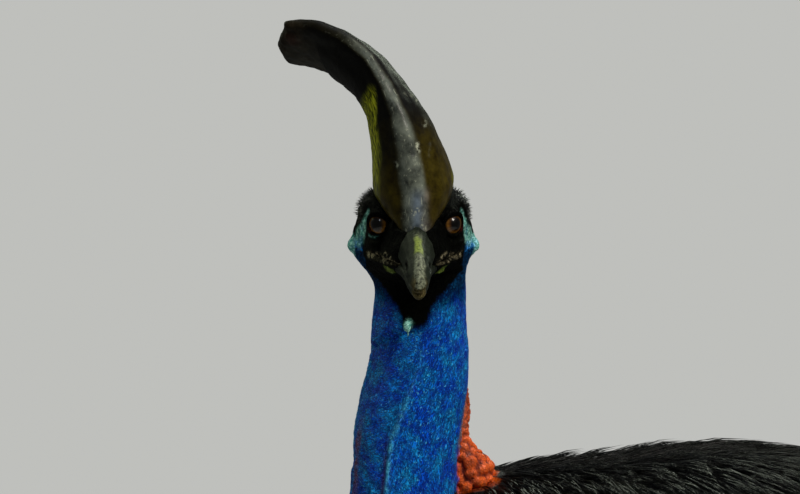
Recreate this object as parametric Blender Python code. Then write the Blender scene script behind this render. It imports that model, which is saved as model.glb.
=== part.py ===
"""A life-size southern cassowary, standing, with its head turned to its left.

The bird faces -Y, its left side is +X, and the floor is z = 0. Body sizes are in metres,
and the finished bird is moved so that its bounding box stands on the origin. The head's own
frame is in millimetres from the midpoint of the eyes: F forward along the skull, L to the
bird's left and U up.
"""

import math
from collections import namedtuple

import bmesh
import bpy
from mathutils import Matrix, Vector

# Driving sizes, in metres and degrees
EYE_MIDPOINT = Vector((0.069, -0.340, 1.240))
HEAD_TURN = 67.5  # how far the face looks to the bird's left of straight ahead
HEAD_PITCH = 14.0  # how far the bill points below level
LEG_SPREAD = 0.115  # from the middle plane to each leg
LEG_SETBACK = 0.045  # from the bird's own origin back to the foot joints
STRIDE = 0.025  # half the step between the two feet
GAP = 0.0003  # clearance between neighbouring solids
MM = 0.001
LEFT = Vector((1.0, 0.0, 0.0))
UP = Vector((0.0, 0.0, 1.0))

# The plumage of the trunk, in slices across Y
Slice = namedtuple("Slice", "y top bottom half_width")
TRUNK = (
    Slice(-0.412, 0.868, 0.740, 0.058),
    Slice(-0.370, 0.938, 0.665, 0.115),
    Slice(-0.290, 1.011, 0.600, 0.160),
    Slice(-0.200, 1.039, 0.562, 0.191),
    Slice(-0.110, 1.0455, 0.543, 0.210),
    Slice(-0.020, 1.0455, 0.533, 0.218),
    Slice(0.070, 1.034, 0.527, 0.217),
    Slice(0.160, 1.012, 0.522, 0.206),
    Slice(0.270, 0.958, 0.515, 0.182),
    Slice(0.370, 0.880, 0.510, 0.145),
    Slice(0.450, 0.790, 0.515, 0.100),
    Slice(0.500, 0.712, 0.540, 0.058),
)
TRUNK_FRONT = Vector((0.0, -0.420, 0.805))
TRUNK_REAR = Vector((0.0, 0.518, 0.625))
TRUNK_WIDEST = 0.46  # of the way up from the underside
TRUNK_FULLNESS = 2.15  # 2 gives an ellipse, and more a squarer slice
TAIL_START = 0.300

# The neck from the breast to the skull: centre, half width across, half depth, and the way
# that the throat faces, in degrees to the bird's left of straight ahead
Collar = namedtuple("Collar", "x y z across depth faces")
NECK = (
    Collar(0.000, -0.215, 0.800, 0.080, 0.090, 0),
    Collar(0.000, -0.276, 0.872, 0.070, 0.080, 0),
    Collar(0.000, -0.309, 0.942, 0.054, 0.060, 0),
    Collar(0.000, -0.3190, 1.005, 0.0430, 0.0440, 0),
    Collar(0.0036, -0.3185, 1.060, 0.0420, 0.0435, 4),
    Collar(0.0117, -0.3128, 1.115, 0.0410, 0.0428, 18),
    Collar(0.0190, -0.3132, 1.165, 0.0375, 0.0400, 42),
    Collar(0.0240, -0.3150, 1.190, 0.0368, 0.0395, 54),
    Collar(0.0270, -0.3200, 1.212, 0.0425, 0.0400, 62),
    Collar(0.0300, -0.3230, 1.232, 0.0410, 0.0380, 64),
)
NECK_CUTS = (1.112, 1.012)  # heights that part the neck into its three lengths

# The head's flesh, in slices across F
HeadSlice = namedtuple("HeadSlice", "f top bottom half_width widest")
HEAD = (
    HeadSlice(50, 4, -22, 12, -9),
    HeadSlice(38, 9, -30, 19, -12),
    HeadSlice(22, 15, -38, 27, -15),
    HeadSlice(2, 21, -46, 36, -17),
    HeadSlice(-18, 25, -54, 44, -18),
    HeadSlice(-38, 25, -62, 49, -20),
    HeadSlice(-56, 16, -60, 44, -22),
    HeadSlice(-70, 0, -52, 30, -25),
)
HEAD_FRONT = (55, 0, -9)
HEAD_REAR = (-78, 0, -25)
HEAD_FULLNESS = 2.4
# Swellings of the head: place, how far they stand out sideways, and their radius
Swelling = namedtuple("Swelling", "f l u out radius")
EAR = Swelling(-38, 49, -32, 5, 12)
BROW = Swelling(-4, 27, 15, 4, 11)
SKULL_LEFT = Vector((0.0, 1.0, 0.0))  # L in the head's frame
EYE_CENTRE = (0.5, 24.0, 0.0)
EYE_RADIUS = 12.0

# The casque, a blade that leans over to the bird's right: the centre of each section, its
# length fore and aft, the tilt of that length, half its thickness, and how much fuller its
# front is than its back
Blade = namedtuple("Blade", "f l u chord tilt half_thickness fuller")
CASQUE = (
    Blade(-8, 0, 4, 112, -3, 21, -0.10),
    Blade(-12, -1, 15, 112, 0, 28, -0.08),
    Blade(-17, -1, 30, 108, 5, 33, 0.00),
    Blade(-24, -6.5, 54, 102, 14, 28, 0.10),
    Blade(-31, -13, 76, 94, 23, 24, 0.15),
    Blade(-38, -21.5, 95, 87, 30, 20, 0.20),
    Blade(-47, -36, 112.5, 82, 36, 16, 0.20),
    Blade(-58, -58.5, 123.5, 75, 42, 13, 0.15),
    Blade(-67, -82, 128, 64, 46, 11, 0.05),
    Blade(-73, -102, 127, 52, 48, 9, 0.00),
)
CASQUE_TIP = (-76, -111, 126)

# The two halves of the bill, in slices across F
BillSlice = namedtuple("BillSlice", "f top bottom half_width")
UPPER_BILL = (
    BillSlice(121, -13, -23, 5.0),
    BillSlice(108, -5.5, -22.5, 8.5),
    BillSlice(90, 1.0, -22, 11.5),
    BillSlice(70, 5.0, -21, 14.0),
    BillSlice(50, 8.5, -20, 17.5),
    BillSlice(34, 11.0, -20, 21.5),
    BillSlice(20, 12.0, -20, 25.0),
)
UPPER_TIP = (125.5, 0, -20)
UPPER_WIDEST = 0.2  # of its height, above the cutting edge
LOWER_BILL = (
    BillSlice(112, -22, -31.5, 5.0),
    BillSlice(98, -21.5, -33, 8.0),
    BillSlice(78, -20.5, -34, 11.5),
    BillSlice(58, -19.5, -35, 15.0),
    BillSlice(40, -19, -36.5, 19.0),
    BillSlice(24, -19, -38, 23.0),
)
LOWER_TIP = (116, 0, -27)
LOWER_WIDEST = 0.3  # of its height, below the cutting edge

# Hanging and swollen skin of the neck, in metres
WATTLE_PATH = (
    (0.0080, -0.3530, 1.086),
    (0.0085, -0.3550, 1.045),
    (0.0120, -0.3590, 1.010),
    (0.0185, -0.3780, 0.962),
    (0.0235, -0.3920, 0.916),
    (0.0255, -0.4010, 0.878),
)
WATTLE_HALF_WIDTHS = (0.0040, 0.0070, 0.0105, 0.0155, 0.0175, 0.0105)
WATTLE_THICKNESS = 0.6  # of its width
STRAND_END = 0.7  # how far a roll's round end reaches, of its half width
CARUNCLE_PATH = (
    (0.004, -0.272, 1.118),
    (0.003, -0.271, 1.092),
    (0.001, -0.268, 1.066),
    (0.000, -0.259, 1.040),
    (0.000, -0.262, 1.012),
)
CARUNCLE_HALF_WIDTHS = (0.005, 0.008, 0.014, 0.023, 0.020)
CARUNCLE_THICKNESS = 0.9
THROAT_TAG = (7.5, -5.5, -88.0)  # the drop's centre, in the head's frame
THROAT_TAG_SIZE = (3.4, 3.4, 7.0)

# The wing, a small pad half sunk in the plumage
WING_CENTRE = Vector((0.196, -0.110, 0.850))
WING_HALF = Vector((0.026, 0.135, 0.052))
WING_DROOP = 24.0

# The left leg, from the middle of its foot joint: centre, half width and half depth
Limb = namedtuple("Limb", "x y z across depth")
THIGH = (
    Limb(-0.003, -0.080, 0.700, 0.085, 0.110),
    Limb(0.005, -0.045, 0.625, 0.084, 0.112),
    Limb(0.007, 0.005, 0.560, 0.070, 0.095),
    Limb(0.004, 0.045, 0.500, 0.050, 0.064),
    Limb(0.002, 0.072, 0.446, 0.034, 0.040),
)
SHANK = (
    Limb(0.002, 0.074, 0.450, 0.026, 0.029),
    Limb(0.001, 0.083, 0.418, 0.027, 0.031),
    Limb(0.000, 0.084, 0.385, 0.029, 0.035),
    Limb(0.000, 0.078, 0.350, 0.025, 0.029),
    Limb(0.000, 0.062, 0.280, 0.020, 0.024),
    Limb(0.000, 0.040, 0.180, 0.020, 0.024),
    Limb(0.000, 0.021, 0.100, 0.023, 0.027),
    Limb(0.000, 0.008, 0.058, 0.028, 0.029),
)
FOOT_HALF = Vector((0.033, 0.036, 0.032))
FOOT_CENTRE = Vector((0.0, -0.002, 0.027))
# Each toe: where it points, in degrees away from the middle plane, its length and half
# width, and its claw's length, half width and rise
Toe = namedtuple("Toe", "points length half_width claw claw_half_width rise")
TOES = {
    "inner": Toe(-30, 0.088, 0.0185, 0.096, 0.0095, 0.018),
    "middle": Toe(0, 0.150, 0.0195, 0.046, 0.0095, 0.004),
    "outer": Toe(32, 0.112, 0.0175, 0.040, 0.0085, 0.004),
}
TOE_THICKNESS = 1.55  # a toe's height over its half width
TOE_SET_BACK = 0.008  # from the foot's centre to where each toe starts
TOE_TAPER = 0.25
KNUCKLE_SWELL = 0.07
KNUCKLES = 3
SOLE_CUT = 0.44  # a toe's centre above the floor, of its height
TOE_ROUND = 0.54  # its half height, of its height, so that the floor cuts a flat sole
# The upright planes between neighbouring toes: the way that each toe lies from them
TOE_PARTINGS = {"inner": (-105,), "middle": (75, -74), "outer": (106,)}
TOE_ROOT = Vector((FOOT_CENTRE.x, FOOT_CENTRE.y, 0))
CLAW_CLEARANCE = 0.0012  # the claws stay just above the floor
CLAW_TIP_HEIGHT = 0.004
CLAW_ROOT = 0.004  # how far it starts inside the toe
CLAW_POINT = 0.0006  # half its width at the tip

# How finely each shape is drawn: the rings along it and the points round it
Fineness = namedtuple("Fineness", "rings points")
TRUNK_MESH = Fineness(18, 22)
NECK_MESH = Fineness(21, 16)
HEAD_MESH = Fineness(15, 24)
BILL_MESH = Fineness(10, 12)
CASQUE_MESH = Fineness(15, 18)
STRAND_MESH = Fineness(10, 10)
THIGH_MESH = Fineness(7, 16)
SHANK_MESH = Fineness(11, 12)
TOE_MESH = Fineness(9, 12)
CLAW_MESH = Fineness(7, 8)
BALL_MESH = Fineness(8, 12)
TAG_MESH = Fineness(6, 8)

# sRGB colours and roughness
PLUMAGE = ((0.020, 0.020, 0.022), 0.6)
NECK_BLUE = ((0.030, 0.220, 0.640), 0.5)
HEAD_BLUE = ((0.100, 0.330, 0.420), 0.5)
WATTLE_RED = ((0.620, 0.100, 0.060), 0.45)
CARUNCLE_ORANGE = ((0.780, 0.230, 0.050), 0.45)
CASQUE_HORN = ((0.110, 0.090, 0.060), 0.3)
BILL_HORN = ((0.160, 0.150, 0.110), 0.4)
IRIS_BROWN = ((0.330, 0.160, 0.040), 0.1)
LEG_SCALE = ((0.240, 0.220, 0.170), 0.6)
CLAW_HORN = ((0.090, 0.080, 0.070), 0.35)


def clear_scene():
    for found in list(bpy.data.objects):
        bpy.data.objects.remove(found)


def collection(name):
    made = bpy.data.collections.new(name)
    bpy.context.scene.collection.children.link(made)
    return made


def material(name, finish):
    colour, roughness = finish
    made = bpy.data.materials.new(name)
    made.use_nodes = True
    shader = made.node_tree.nodes["Principled BSDF"]
    shader.inputs["Base Color"].default_value = (*colour, 1.0)
    shader.inputs["Roughness"].default_value = roughness
    shader.inputs["Metallic"].default_value = 0.0
    return made


def unit(degrees):
    """The level direction that many degrees to the bird's left of straight ahead."""
    angle = math.radians(degrees)
    return Vector((math.sin(angle), -math.cos(angle), 0.0))


def head_matrix():
    """From the head's frame, in millimetres, to the world, in metres."""
    level = unit(HEAD_TURN)
    left = UP.cross(level)
    pitch = math.radians(HEAD_PITCH)
    forward = level * math.cos(pitch) - UP * math.sin(pitch)
    crown = UP * math.cos(pitch) + level * math.sin(pitch)
    turned = Matrix((forward, left, crown)).transposed().to_4x4()
    return Matrix.Translation(EYE_MIDPOINT) @ turned @ Matrix.Scale(MM, 4)


def along(stations, count):
    """The stations' numbers at count even steps of a smooth curve through them."""
    last = len(stations) - 1
    rows = []
    for step in range(count):
        place = last * step / (count - 1)
        first = min(int(place), last - 1)
        t = place - first
        a, b, c, d = (stations[min(max(first + k, 0), last)] for k in (-1, 0, 1, 2))
        rows.append([blend(*numbers, t) for numbers in zip(a, b, c, d)])
    return rows


def blend(before, start, end, after, t):
    """The number at t of the way from start to end, on a smooth curve through all four."""
    bend = 2 * before - 5 * start + 4 * end - after
    twist = 3 * start - before - 3 * end + after
    return start + 0.5 * ((end - before) * t + bend * t**2 + twist * t**3)


def oval(centre, side, up, half_width, half_up, half_down, count, power=2.0):
    """A closed outline round centre, which may be taller above it than below."""
    ring = []
    for step in range(count):
        angle = 2 * math.pi * step / count
        across, height = math.cos(angle), math.sin(angle)
        wide = math.copysign(abs(across) ** (2 / power), across) * half_width
        tall = math.copysign(abs(height) ** (2 / power), height)
        ring.append(centre + side * wide + up * tall * (half_up if tall > 0 else half_down))
    return ring


def loft(rings, first_pole, last_pole):
    """A closed mesh through the rings, which ends in a point at each pole."""
    shape = bmesh.new()
    loops = [[shape.verts.new(point) for point in ring] for ring in rings]
    for lower, upper in zip(loops, loops[1:]):
        for i in range(len(lower)):
            j = (i + 1) % len(lower)
            shape.faces.new((lower[i], lower[j], upper[j], upper[i]))
    for loop, pole in ((loops[0], first_pole), (loops[-1], last_pole)):
        tip = shape.verts.new(pole)
        for i in range(len(loop)):
            shape.faces.new((loop[i], loop[(i + 1) % len(loop)], tip))
    bmesh.ops.recalc_face_normals(shape, faces=shape.faces)
    return shape


def tube(limbs, fineness):
    """Rings along a limb's path, each square to the path."""
    rings = fineness.rings
    rows = along(limbs, rings)
    centres = [Vector(row[:3]) for row in rows]
    loops = []
    for i, row in enumerate(rows):
        tangent = centres[min(i + 1, rings - 1)] - centres[max(i - 1, 0)]
        front = tangent.cross(LEFT).normalized()
        side = front.cross(tangent).normalized()
        loops.append(oval(centres[i], side, front, row[3], row[4], row[4], fineness.points))
    return loops


def mean(points):
    return sum(points, Vector()) / len(points)


def place(name, shape, finish, matrix=None):
    """Makes the object from its shape, and keeps a copy of the mesh as it is before cuts."""
    if matrix is not None:
        bmesh.ops.transform(shape, matrix=matrix, verts=shape.verts)
        if matrix.determinant() < 0:
            bmesh.ops.reverse_faces(shape, faces=shape.faces)
    bmesh.ops.triangulate(shape, faces=shape.faces)
    mesh = bpy.data.meshes.new(name)
    shape.to_mesh(mesh)
    shape.free()
    mesh.shade_smooth()
    whole[name] = mesh.copy()
    made = bpy.data.objects.new(name, mesh)
    made.data.materials.append(finish)
    bird.objects.link(made)
    return made


def apply_modifiers(target):
    """Replaces the object's mesh with its evaluated one."""
    bpy.context.view_layer.update()
    graph = bpy.context.evaluated_depsgraph_get()
    mesh = bpy.data.meshes.new_from_object(target.evaluated_get(graph))
    target.modifiers.clear()
    target.data = mesh


def grown(source, by):
    """A cutter: the source before its cuts, larger by that much all round."""
    cutter = bpy.data.objects.new("grown_" + source.name, whole[source.name].copy())
    cutters.objects.link(cutter)
    cutter.hide_render = True
    cutter.display_type = "WIRE"
    swell = cutter.modifiers.new("swell", "DISPLACE")
    swell.strength = by
    swell.mid_level = 0.0
    apply_modifiers(cutter)
    return cutter


def part_from(target, *neighbours):
    """Cuts each neighbour, and the gap round it, out of the target."""
    for neighbour in neighbours:
        cut = target.modifiers.new("clear_of_" + neighbour.name, "BOOLEAN")
        cut.operation = "DIFFERENCE"
        cut.object = grown(neighbour, GAP)
        apply_modifiers(target)


def keep_beyond(shape, point, normal):
    """Keeps what lies on the side of the plane that normal points to, and closes the cut."""
    bmesh.ops.bisect_plane(
        shape, geom=[*shape.verts, *shape.edges, *shape.faces],
        plane_co=point, plane_no=normal, clear_inner=True,
    )
    rim = [edge for edge in shape.edges if edge.is_boundary]
    bmesh.ops.contextual_create(shape, geom=rim)
    bmesh.ops.recalc_face_normals(shape, faces=shape.faces)


def keep_side(target, point, normal):
    """Keeps what lies beyond the plane of an object's mesh."""
    shape = bmesh.new()
    shape.from_mesh(target.data)
    keep_beyond(shape, point, normal)
    shape.to_mesh(target.data)
    shape.free()


def split(target, name, point, normal):
    """Parts the target at a plane, with the gap between: name is beyond the plane."""
    beyond = bpy.data.objects.new(name, target.data.copy())
    bird.objects.link(beyond)
    keep_side(beyond, point + normal * GAP / 2, normal)
    keep_side(target, point - normal * GAP / 2, -normal)
    return beyond


def make_trunk():
    rings = []
    for y, top, bottom, half_width in along(TRUNK, TRUNK_MESH.rings):
        widest = bottom + TRUNK_WIDEST * (top - bottom)
        centre = Vector((0.0, y, widest))
        rings.append(oval(
            centre, LEFT, UP, half_width, top - widest, widest - bottom,
            TRUNK_MESH.points, TRUNK_FULLNESS,
        ))
    return place("trunk", loft(rings, TRUNK_FRONT, TRUNK_REAR), plumage)


def make_neck():
    rows = along(NECK, NECK_MESH.rings)
    centres = [Vector(row[:3]) for row in rows]
    rings = []
    for i, row in enumerate(rows):
        tangent = (centres[min(i + 1, len(rows) - 1)] - centres[max(i - 1, 0)]).normalized()
        throat = unit(row[5])
        side = tangent.cross(throat).normalized()
        front = side.cross(tangent)
        rings.append(oval(centres[i], side, front, row[3], row[4], row[4], NECK_MESH.points))
    return place("neck_lower", loft(rings, mean(rings[0]), mean(rings[-1])), neck_blue)


def swell_out(ring, swelling):
    """Pushes the points of a head ring sideways near the swelling, on both sides."""
    for point in ring:
        away = Vector((point.x - swelling.f, abs(point.y) - swelling.l, point.z - swelling.u))
        push = swelling.out * math.exp(-away.length_squared / (2 * swelling.radius**2))
        point.y += math.copysign(push, point.y)


def make_head():
    rings = []
    for f, top, bottom, half_width, widest in along(HEAD, HEAD_MESH.rings):
        ring = oval(
            Vector((f, 0, widest)), SKULL_LEFT, UP,
            half_width, top - widest, widest - bottom, HEAD_MESH.points, HEAD_FULLNESS,
        )
        swell_out(ring, EAR)
        swell_out(ring, BROW)
        rings.append(ring)
    return place("head", loft(rings, HEAD_FRONT, HEAD_REAR), head_blue, in_head)


def make_bill(name, slices, tip, widest_at):
    """Half of the bill: a narrow roof or keel that is widest near its cutting edges."""
    rings = []
    for f, top, bottom, half_width in along(slices, BILL_MESH.rings):
        widest = bottom + widest_at * (top - bottom)
        rings.append(oval(
            Vector((f, 0, widest)), SKULL_LEFT, UP,
            half_width, top - widest, widest - bottom, BILL_MESH.points,
        ))
    shape = loft(rings, tip, mean(rings[-1]))
    return place(name, shape, bill_horn, in_head)


def make_casque():
    rows = along(CASQUE, CASQUE_MESH.rings)
    centres = [Vector(row[:3]) for row in rows]
    rings = []
    for i, (_, _, _, chord, tilt, half_thickness, fuller) in enumerate(rows):
        tangent = centres[min(i + 1, len(rows) - 1)] - centres[max(i - 1, 0)]
        lean = math.radians(tilt)
        fore = Vector((math.cos(lean), 0.0, math.sin(lean)))
        left = tangent.cross(fore).normalized()
        ring = []
        for step in range(CASQUE_MESH.points):
            angle = 2 * math.pi * step / CASQUE_MESH.points
            ahead, aside = math.cos(angle), math.sin(angle)
            ring.append(
                centres[i] + fore * ahead * chord / 2
                + left * aside * half_thickness * (1 + fuller * ahead)
            )
        rings.append(ring)
    shape = loft(rings, mean(rings[0]), CASQUE_TIP)
    return place("casque", shape, casque_horn, in_head)


def ball(centre, half, fineness=BALL_MESH):
    """A closed ellipsoid about centre."""
    shape = bmesh.new()
    bmesh.ops.create_uvsphere(
        shape, u_segments=fineness.points, v_segments=fineness.rings, radius=1.0,
    )
    bmesh.ops.scale(shape, vec=half, verts=shape.verts)
    bmesh.ops.translate(shape, vec=centre, verts=shape.verts)
    return shape


def make_eye(side, sign):
    f, l, u = EYE_CENTRE
    size = Vector((1, 1, 1)) * EYE_RADIUS
    return place("eye_" + side, ball(Vector((f, sign * l, u)), size), iris_brown, in_head)


def make_strand(name, path, half_widths, thickness, finish, sign=1):
    """A hanging or standing roll of skin along a path, flattened by thickness."""
    limbs = [(sign * x, y, z, w, w * thickness) for (x, y, z), w in zip(path, half_widths)]
    rings = tube(limbs, STRAND_MESH)
    end = rings[-1]
    droop = (mean(end) - mean(rings[-2])).normalized() * half_widths[-1] * STRAND_END
    shape = loft(rings, mean(rings[0]), mean(end) + droop)
    return place(name, shape, finish)


def make_wing(side, sign):
    shape = ball(Vector(), WING_HALF)
    turned = Matrix.Rotation(math.radians(-WING_DROOP), 4, "X")
    at = Matrix.Translation(Vector((sign * WING_CENTRE.x, WING_CENTRE.y, WING_CENTRE.z)))
    return place("wing_" + side, shape, plumage, at @ turned)


def leg_matrix(sign):
    """From the foot joint's frame to the left leg's place, or mirrored to the right leg's."""
    joint = Vector((sign * LEG_SPREAD, LEG_SETBACK - sign * STRIDE, 0.0))
    return Matrix.Translation(joint) @ Matrix.Diagonal((sign, 1, 1, 1))


def flat_below(ring, level=0.0):
    for point in ring:
        point.z = max(point.z, level)
    return ring


def make_toe(side, sign, kind):
    """A toe with a flat sole, and its claw."""
    toe = TOES[kind]
    ahead = unit(toe.points)
    across = UP.cross(ahead)
    start = TOE_ROOT + ahead * TOE_SET_BACK
    height = toe.half_width * TOE_THICKNESS
    rings = []
    for step in range(TOE_MESH.rings):
        t = step / (TOE_MESH.rings - 1)
        knuckle = 1 - KNUCKLE_SWELL * math.cos(2 * KNUCKLES * math.pi * t) - TOE_TAPER * t
        half = toe.half_width * knuckle
        tall = height * knuckle
        centre = start + ahead * toe.length * t + UP * tall * SOLE_CUT
        half_tall = tall * TOE_ROUND
        rings.append(flat_below(
            oval(centre, across, UP, half, half_tall, half_tall, TOE_MESH.points),
        ))
    shape = loft(rings, mean(rings[0]), mean(rings[-1]) + ahead * toe.half_width * 0.5)
    for towards in TOE_PARTINGS[kind]:
        normal = unit(towards)
        keep_beyond(shape, TOE_ROOT + normal * GAP / 2, normal)
    toe_object = place(f"toe_{kind}_{side}", shape, leg_scale, leg_matrix(sign))
    claw_object = make_claw(side, sign, kind, start + ahead * (toe.length - CLAW_ROOT), height)
    part_from(claw_object, toe_object)
    return toe_object


def make_claw(side, sign, kind, start, toe_height):
    """A tapering claw that arches over and comes back down near the floor."""
    toe = TOES[kind]
    ahead = unit(toe.points)
    across = UP.cross(ahead)
    tip_height = CLAW_TIP_HEIGHT + toe.rise * 0.35
    rings = []
    for step in range(CLAW_MESH.rings):
        t = step / CLAW_MESH.rings
        centre = start + ahead * toe.claw * t
        arch = toe.rise * math.sin(math.pi * t) * 0.8
        centre.z = toe_height * 0.42 * (1 - t) + tip_height * t + arch
        half = toe.claw_half_width * (1 - t) ** 0.7 + CLAW_POINT
        half_tall = half * 1.1
        rings.append(flat_below(
            oval(centre, across, UP, half, half_tall, half_tall, CLAW_MESH.points), CLAW_CLEARANCE,
        ))
    tip = start + ahead * toe.claw
    tip.z = tip_height
    return place(f"claw_{kind}_{side}", loft(rings, mean(rings[0]), tip), claw_horn, leg_matrix(sign))


def make_leg(side, sign, trunk):
    thigh_rings = tube(THIGH, THIGH_MESH)
    thigh = place(
        "thigh_" + side, loft(thigh_rings, mean(thigh_rings[0]), mean(thigh_rings[-1])), plumage,
        leg_matrix(sign),
    )
    part_from(thigh, trunk)
    shank_rings = tube(SHANK, SHANK_MESH)
    shank = place(
        "shank_" + side, loft(shank_rings, mean(shank_rings[0]), mean(shank_rings[-1])), leg_scale,
        leg_matrix(sign),
    )
    part_from(shank, thigh)
    pad = ball(FOOT_CENTRE, FOOT_HALF)
    for vert in pad.verts:
        vert.co.z = max(vert.co.z, 0.0)
    foot = place("foot_" + side, pad, leg_scale, leg_matrix(sign))
    part_from(shank, foot)
    for kind in TOES:
        part_from(make_toe(side, sign, kind), foot)


def build_bird():
    trunk = make_trunk()
    for side, sign in (("left", 1), ("right", -1)):
        part_from(trunk, make_wing(side, sign))
    head = make_head()
    eyes = [make_eye(side, sign) for side, sign in (("left", 1), ("right", -1))]
    part_from(head, *eyes)
    casque = make_casque()
    part_from(casque, head, *eyes)
    upper = make_bill("bill_upper", UPPER_BILL, UPPER_TIP, UPPER_WIDEST)
    part_from(upper, head, casque)
    lower = make_bill("bill_lower", LOWER_BILL, LOWER_TIP, 1 - LOWER_WIDEST)
    part_from(lower, head, upper)
    neck = make_neck()
    part_from(neck, trunk, head)
    caruncles = make_strand(
        "nape_caruncles", CARUNCLE_PATH, CARUNCLE_HALF_WIDTHS, CARUNCLE_THICKNESS,
        caruncle_orange,
    )
    part_from(caruncles, neck, trunk)
    for side, sign in (("left", 1), ("right", -1)):
        wattle = make_strand(
            "wattle_" + side, WATTLE_PATH, WATTLE_HALF_WIDTHS, WATTLE_THICKNESS, wattle_red, sign,
        )
        part_from(wattle, neck, trunk)
    tag = place(
        "throat_tag", ball(THROAT_TAG, THROAT_TAG_SIZE, TAG_MESH), head_blue, in_head,
    )
    part_from(tag, neck)
    split(neck, "neck_upper", UP * NECK_CUTS[0], UP)
    split(neck, "neck_middle", UP * NECK_CUTS[1], UP)
    for side, sign in (("left", 1), ("right", -1)):
        make_leg(side, sign, trunk)
    rearward = Vector((0, 1, 0))
    split(trunk, "tail", rearward * TAIL_START, rearward)


def stand_on_origin():
    """Moves every mesh so that the middle of the bounding box's underside is the origin."""
    meshes = [made.data for made in bird.objects]
    points = [vert.co for mesh in meshes for vert in mesh.vertices]
    low = Vector([min(point[axis] for point in points) for axis in range(3)])
    high = Vector([max(point[axis] for point in points) for axis in range(3)])
    foot = Vector(((low.x + high.x) / 2, (low.y + high.y) / 2, low.z))
    for mesh in meshes:
        mesh.transform(Matrix.Translation(-foot))


clear_scene()
whole = {}
bird = collection("cassowary")
cutters = collection("cutters")
in_head = head_matrix()
plumage = material("black_plumage", PLUMAGE)
neck_blue = material("neck_skin", NECK_BLUE)
head_blue = material("head_skin", HEAD_BLUE)
wattle_red = material("wattle_skin", WATTLE_RED)
caruncle_orange = material("caruncle_skin", CARUNCLE_ORANGE)
casque_horn = material("casque_horn", CASQUE_HORN)
bill_horn = material("bill_horn", BILL_HORN)
iris_brown = material("eye", IRIS_BROWN)
leg_scale = material("leg_scales", LEG_SCALE)
claw_horn = material("claw_horn", CLAW_HORN)
build_bird()
stand_on_origin()
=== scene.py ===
import math

import bmesh
import bpy
import numpy as np
from mathutils import Matrix, Vector
from mathutils.bvhtree import BVHTree


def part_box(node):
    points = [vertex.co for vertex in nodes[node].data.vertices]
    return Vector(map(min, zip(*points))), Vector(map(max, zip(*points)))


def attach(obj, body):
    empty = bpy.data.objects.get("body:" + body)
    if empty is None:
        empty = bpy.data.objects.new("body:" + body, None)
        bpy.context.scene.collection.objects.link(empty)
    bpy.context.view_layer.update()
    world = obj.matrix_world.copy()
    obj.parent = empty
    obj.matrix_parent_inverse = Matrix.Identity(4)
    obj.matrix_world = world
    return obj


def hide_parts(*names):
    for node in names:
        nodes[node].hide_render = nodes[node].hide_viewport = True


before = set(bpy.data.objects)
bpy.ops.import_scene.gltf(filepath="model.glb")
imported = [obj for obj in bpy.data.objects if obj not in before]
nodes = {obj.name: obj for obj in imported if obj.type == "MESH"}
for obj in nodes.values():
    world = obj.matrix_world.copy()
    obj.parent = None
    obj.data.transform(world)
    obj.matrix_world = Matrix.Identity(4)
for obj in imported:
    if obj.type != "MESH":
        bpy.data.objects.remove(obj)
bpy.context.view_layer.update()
random = np.random.default_rng(7)
bothSides = ("left", "right")

# How the head is carried, as in the solids
carriage = {
    "turn": 67.5,  # degrees from straight ahead to the bird's left
    "pitch": 14.0,  # degrees that the bill points below level
    "eyeAhead": 0.5,  # mm from the head frame's origin forward to the eyes' centres
    "drawnAt": (0.069, -0.340, 1.240),  # where the solids were drawn before they were centred
}


# Small tools

def fromHex(code):  # an sRGB hex value as linear RGBA
    channels = [int(code[i:i + 2], 16) / 255 for i in (1, 3, 5)]
    return (*(c / 12.92 if c <= 0.04045 else ((c + 0.055) / 1.055) ** 2.4 for c in channels), 1.0)


def readPoints(mesh, what="co"):
    flat = np.empty(len(mesh.vertices) * 3)
    mesh.vertices.foreach_get(what, flat)
    return flat.reshape(-1, 3)


def pointsAndNormals(mesh):
    return readPoints(mesh), readPoints(mesh, "normal")


def writePoints(mesh, points):
    mesh.vertices.foreach_set("co", points.astype(np.float32).ravel())
    mesh.update()


def readEdges(mesh):
    flat = np.empty(len(mesh.edges) * 2, dtype=np.int32)
    mesh.edges.foreach_get("vertices", flat)
    return flat.reshape(-1, 2)


def storeValues(mesh, name, kind, values):  # kind is FLOAT, FLOAT_VECTOR or FLOAT_COLOR
    field = {"FLOAT": "value", "FLOAT_VECTOR": "vector", "FLOAT_COLOR": "color"}[kind]
    layer = mesh.attributes.new(name, kind, "POINT")
    layer.data.foreach_set(field, np.asarray(values, dtype=np.float32).ravel())


def storeMarks(mesh, name, *masks):  # four masks as a colour attribute
    storeValues(mesh, name, "FLOAT_COLOR", np.column_stack(masks).clip(0, 1))


def fade(value, start, end):  # 0 at start, 1 at end and smooth between
    part = np.clip((value - start) / (end - start), 0, 1)
    return part * part * (3 - 2 * part)


def fall(value, start, end):  # the same from 1 to 0
    return 1 - fade(value, start, end)


def hill(distance, width):  # 1 at no distance, and 0.6 a width away
    return np.exp(-0.5 * (distance / width) ** 2)


def grain(points, size, seed=0):  # smooth noise from -1 to 1, in lumps about size across
    cell = points / size + 31.7 * (seed + 1)
    low = np.floor(cell).astype(np.int64)
    part = cell - low
    part = part * part * (3 - 2 * part)
    total = np.zeros(len(points))
    for corner in range(8):
        step = np.array([(corner >> axis) & 1 for axis in range(3)])
        at = low + step
        mixed = at[:, 0] * 374761393 + at[:, 1] * 668265263 + at[:, 2] * 1442695041 + seed * 97
        mixed = (mixed ^ (mixed >> 13)) * 1274126177
        value = ((mixed ^ (mixed >> 16)) & 0xFFFF) / 0x7FFF - 1
        total += value * np.prod(np.where(step, part, 1 - part), axis=1)
    return total


def furrows(points, size, seed=0):  # noise whose ridges are round and whose valleys are thin
    return np.minimum(np.abs(grain(points, size, seed)) * 2.2, 1)


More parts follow.
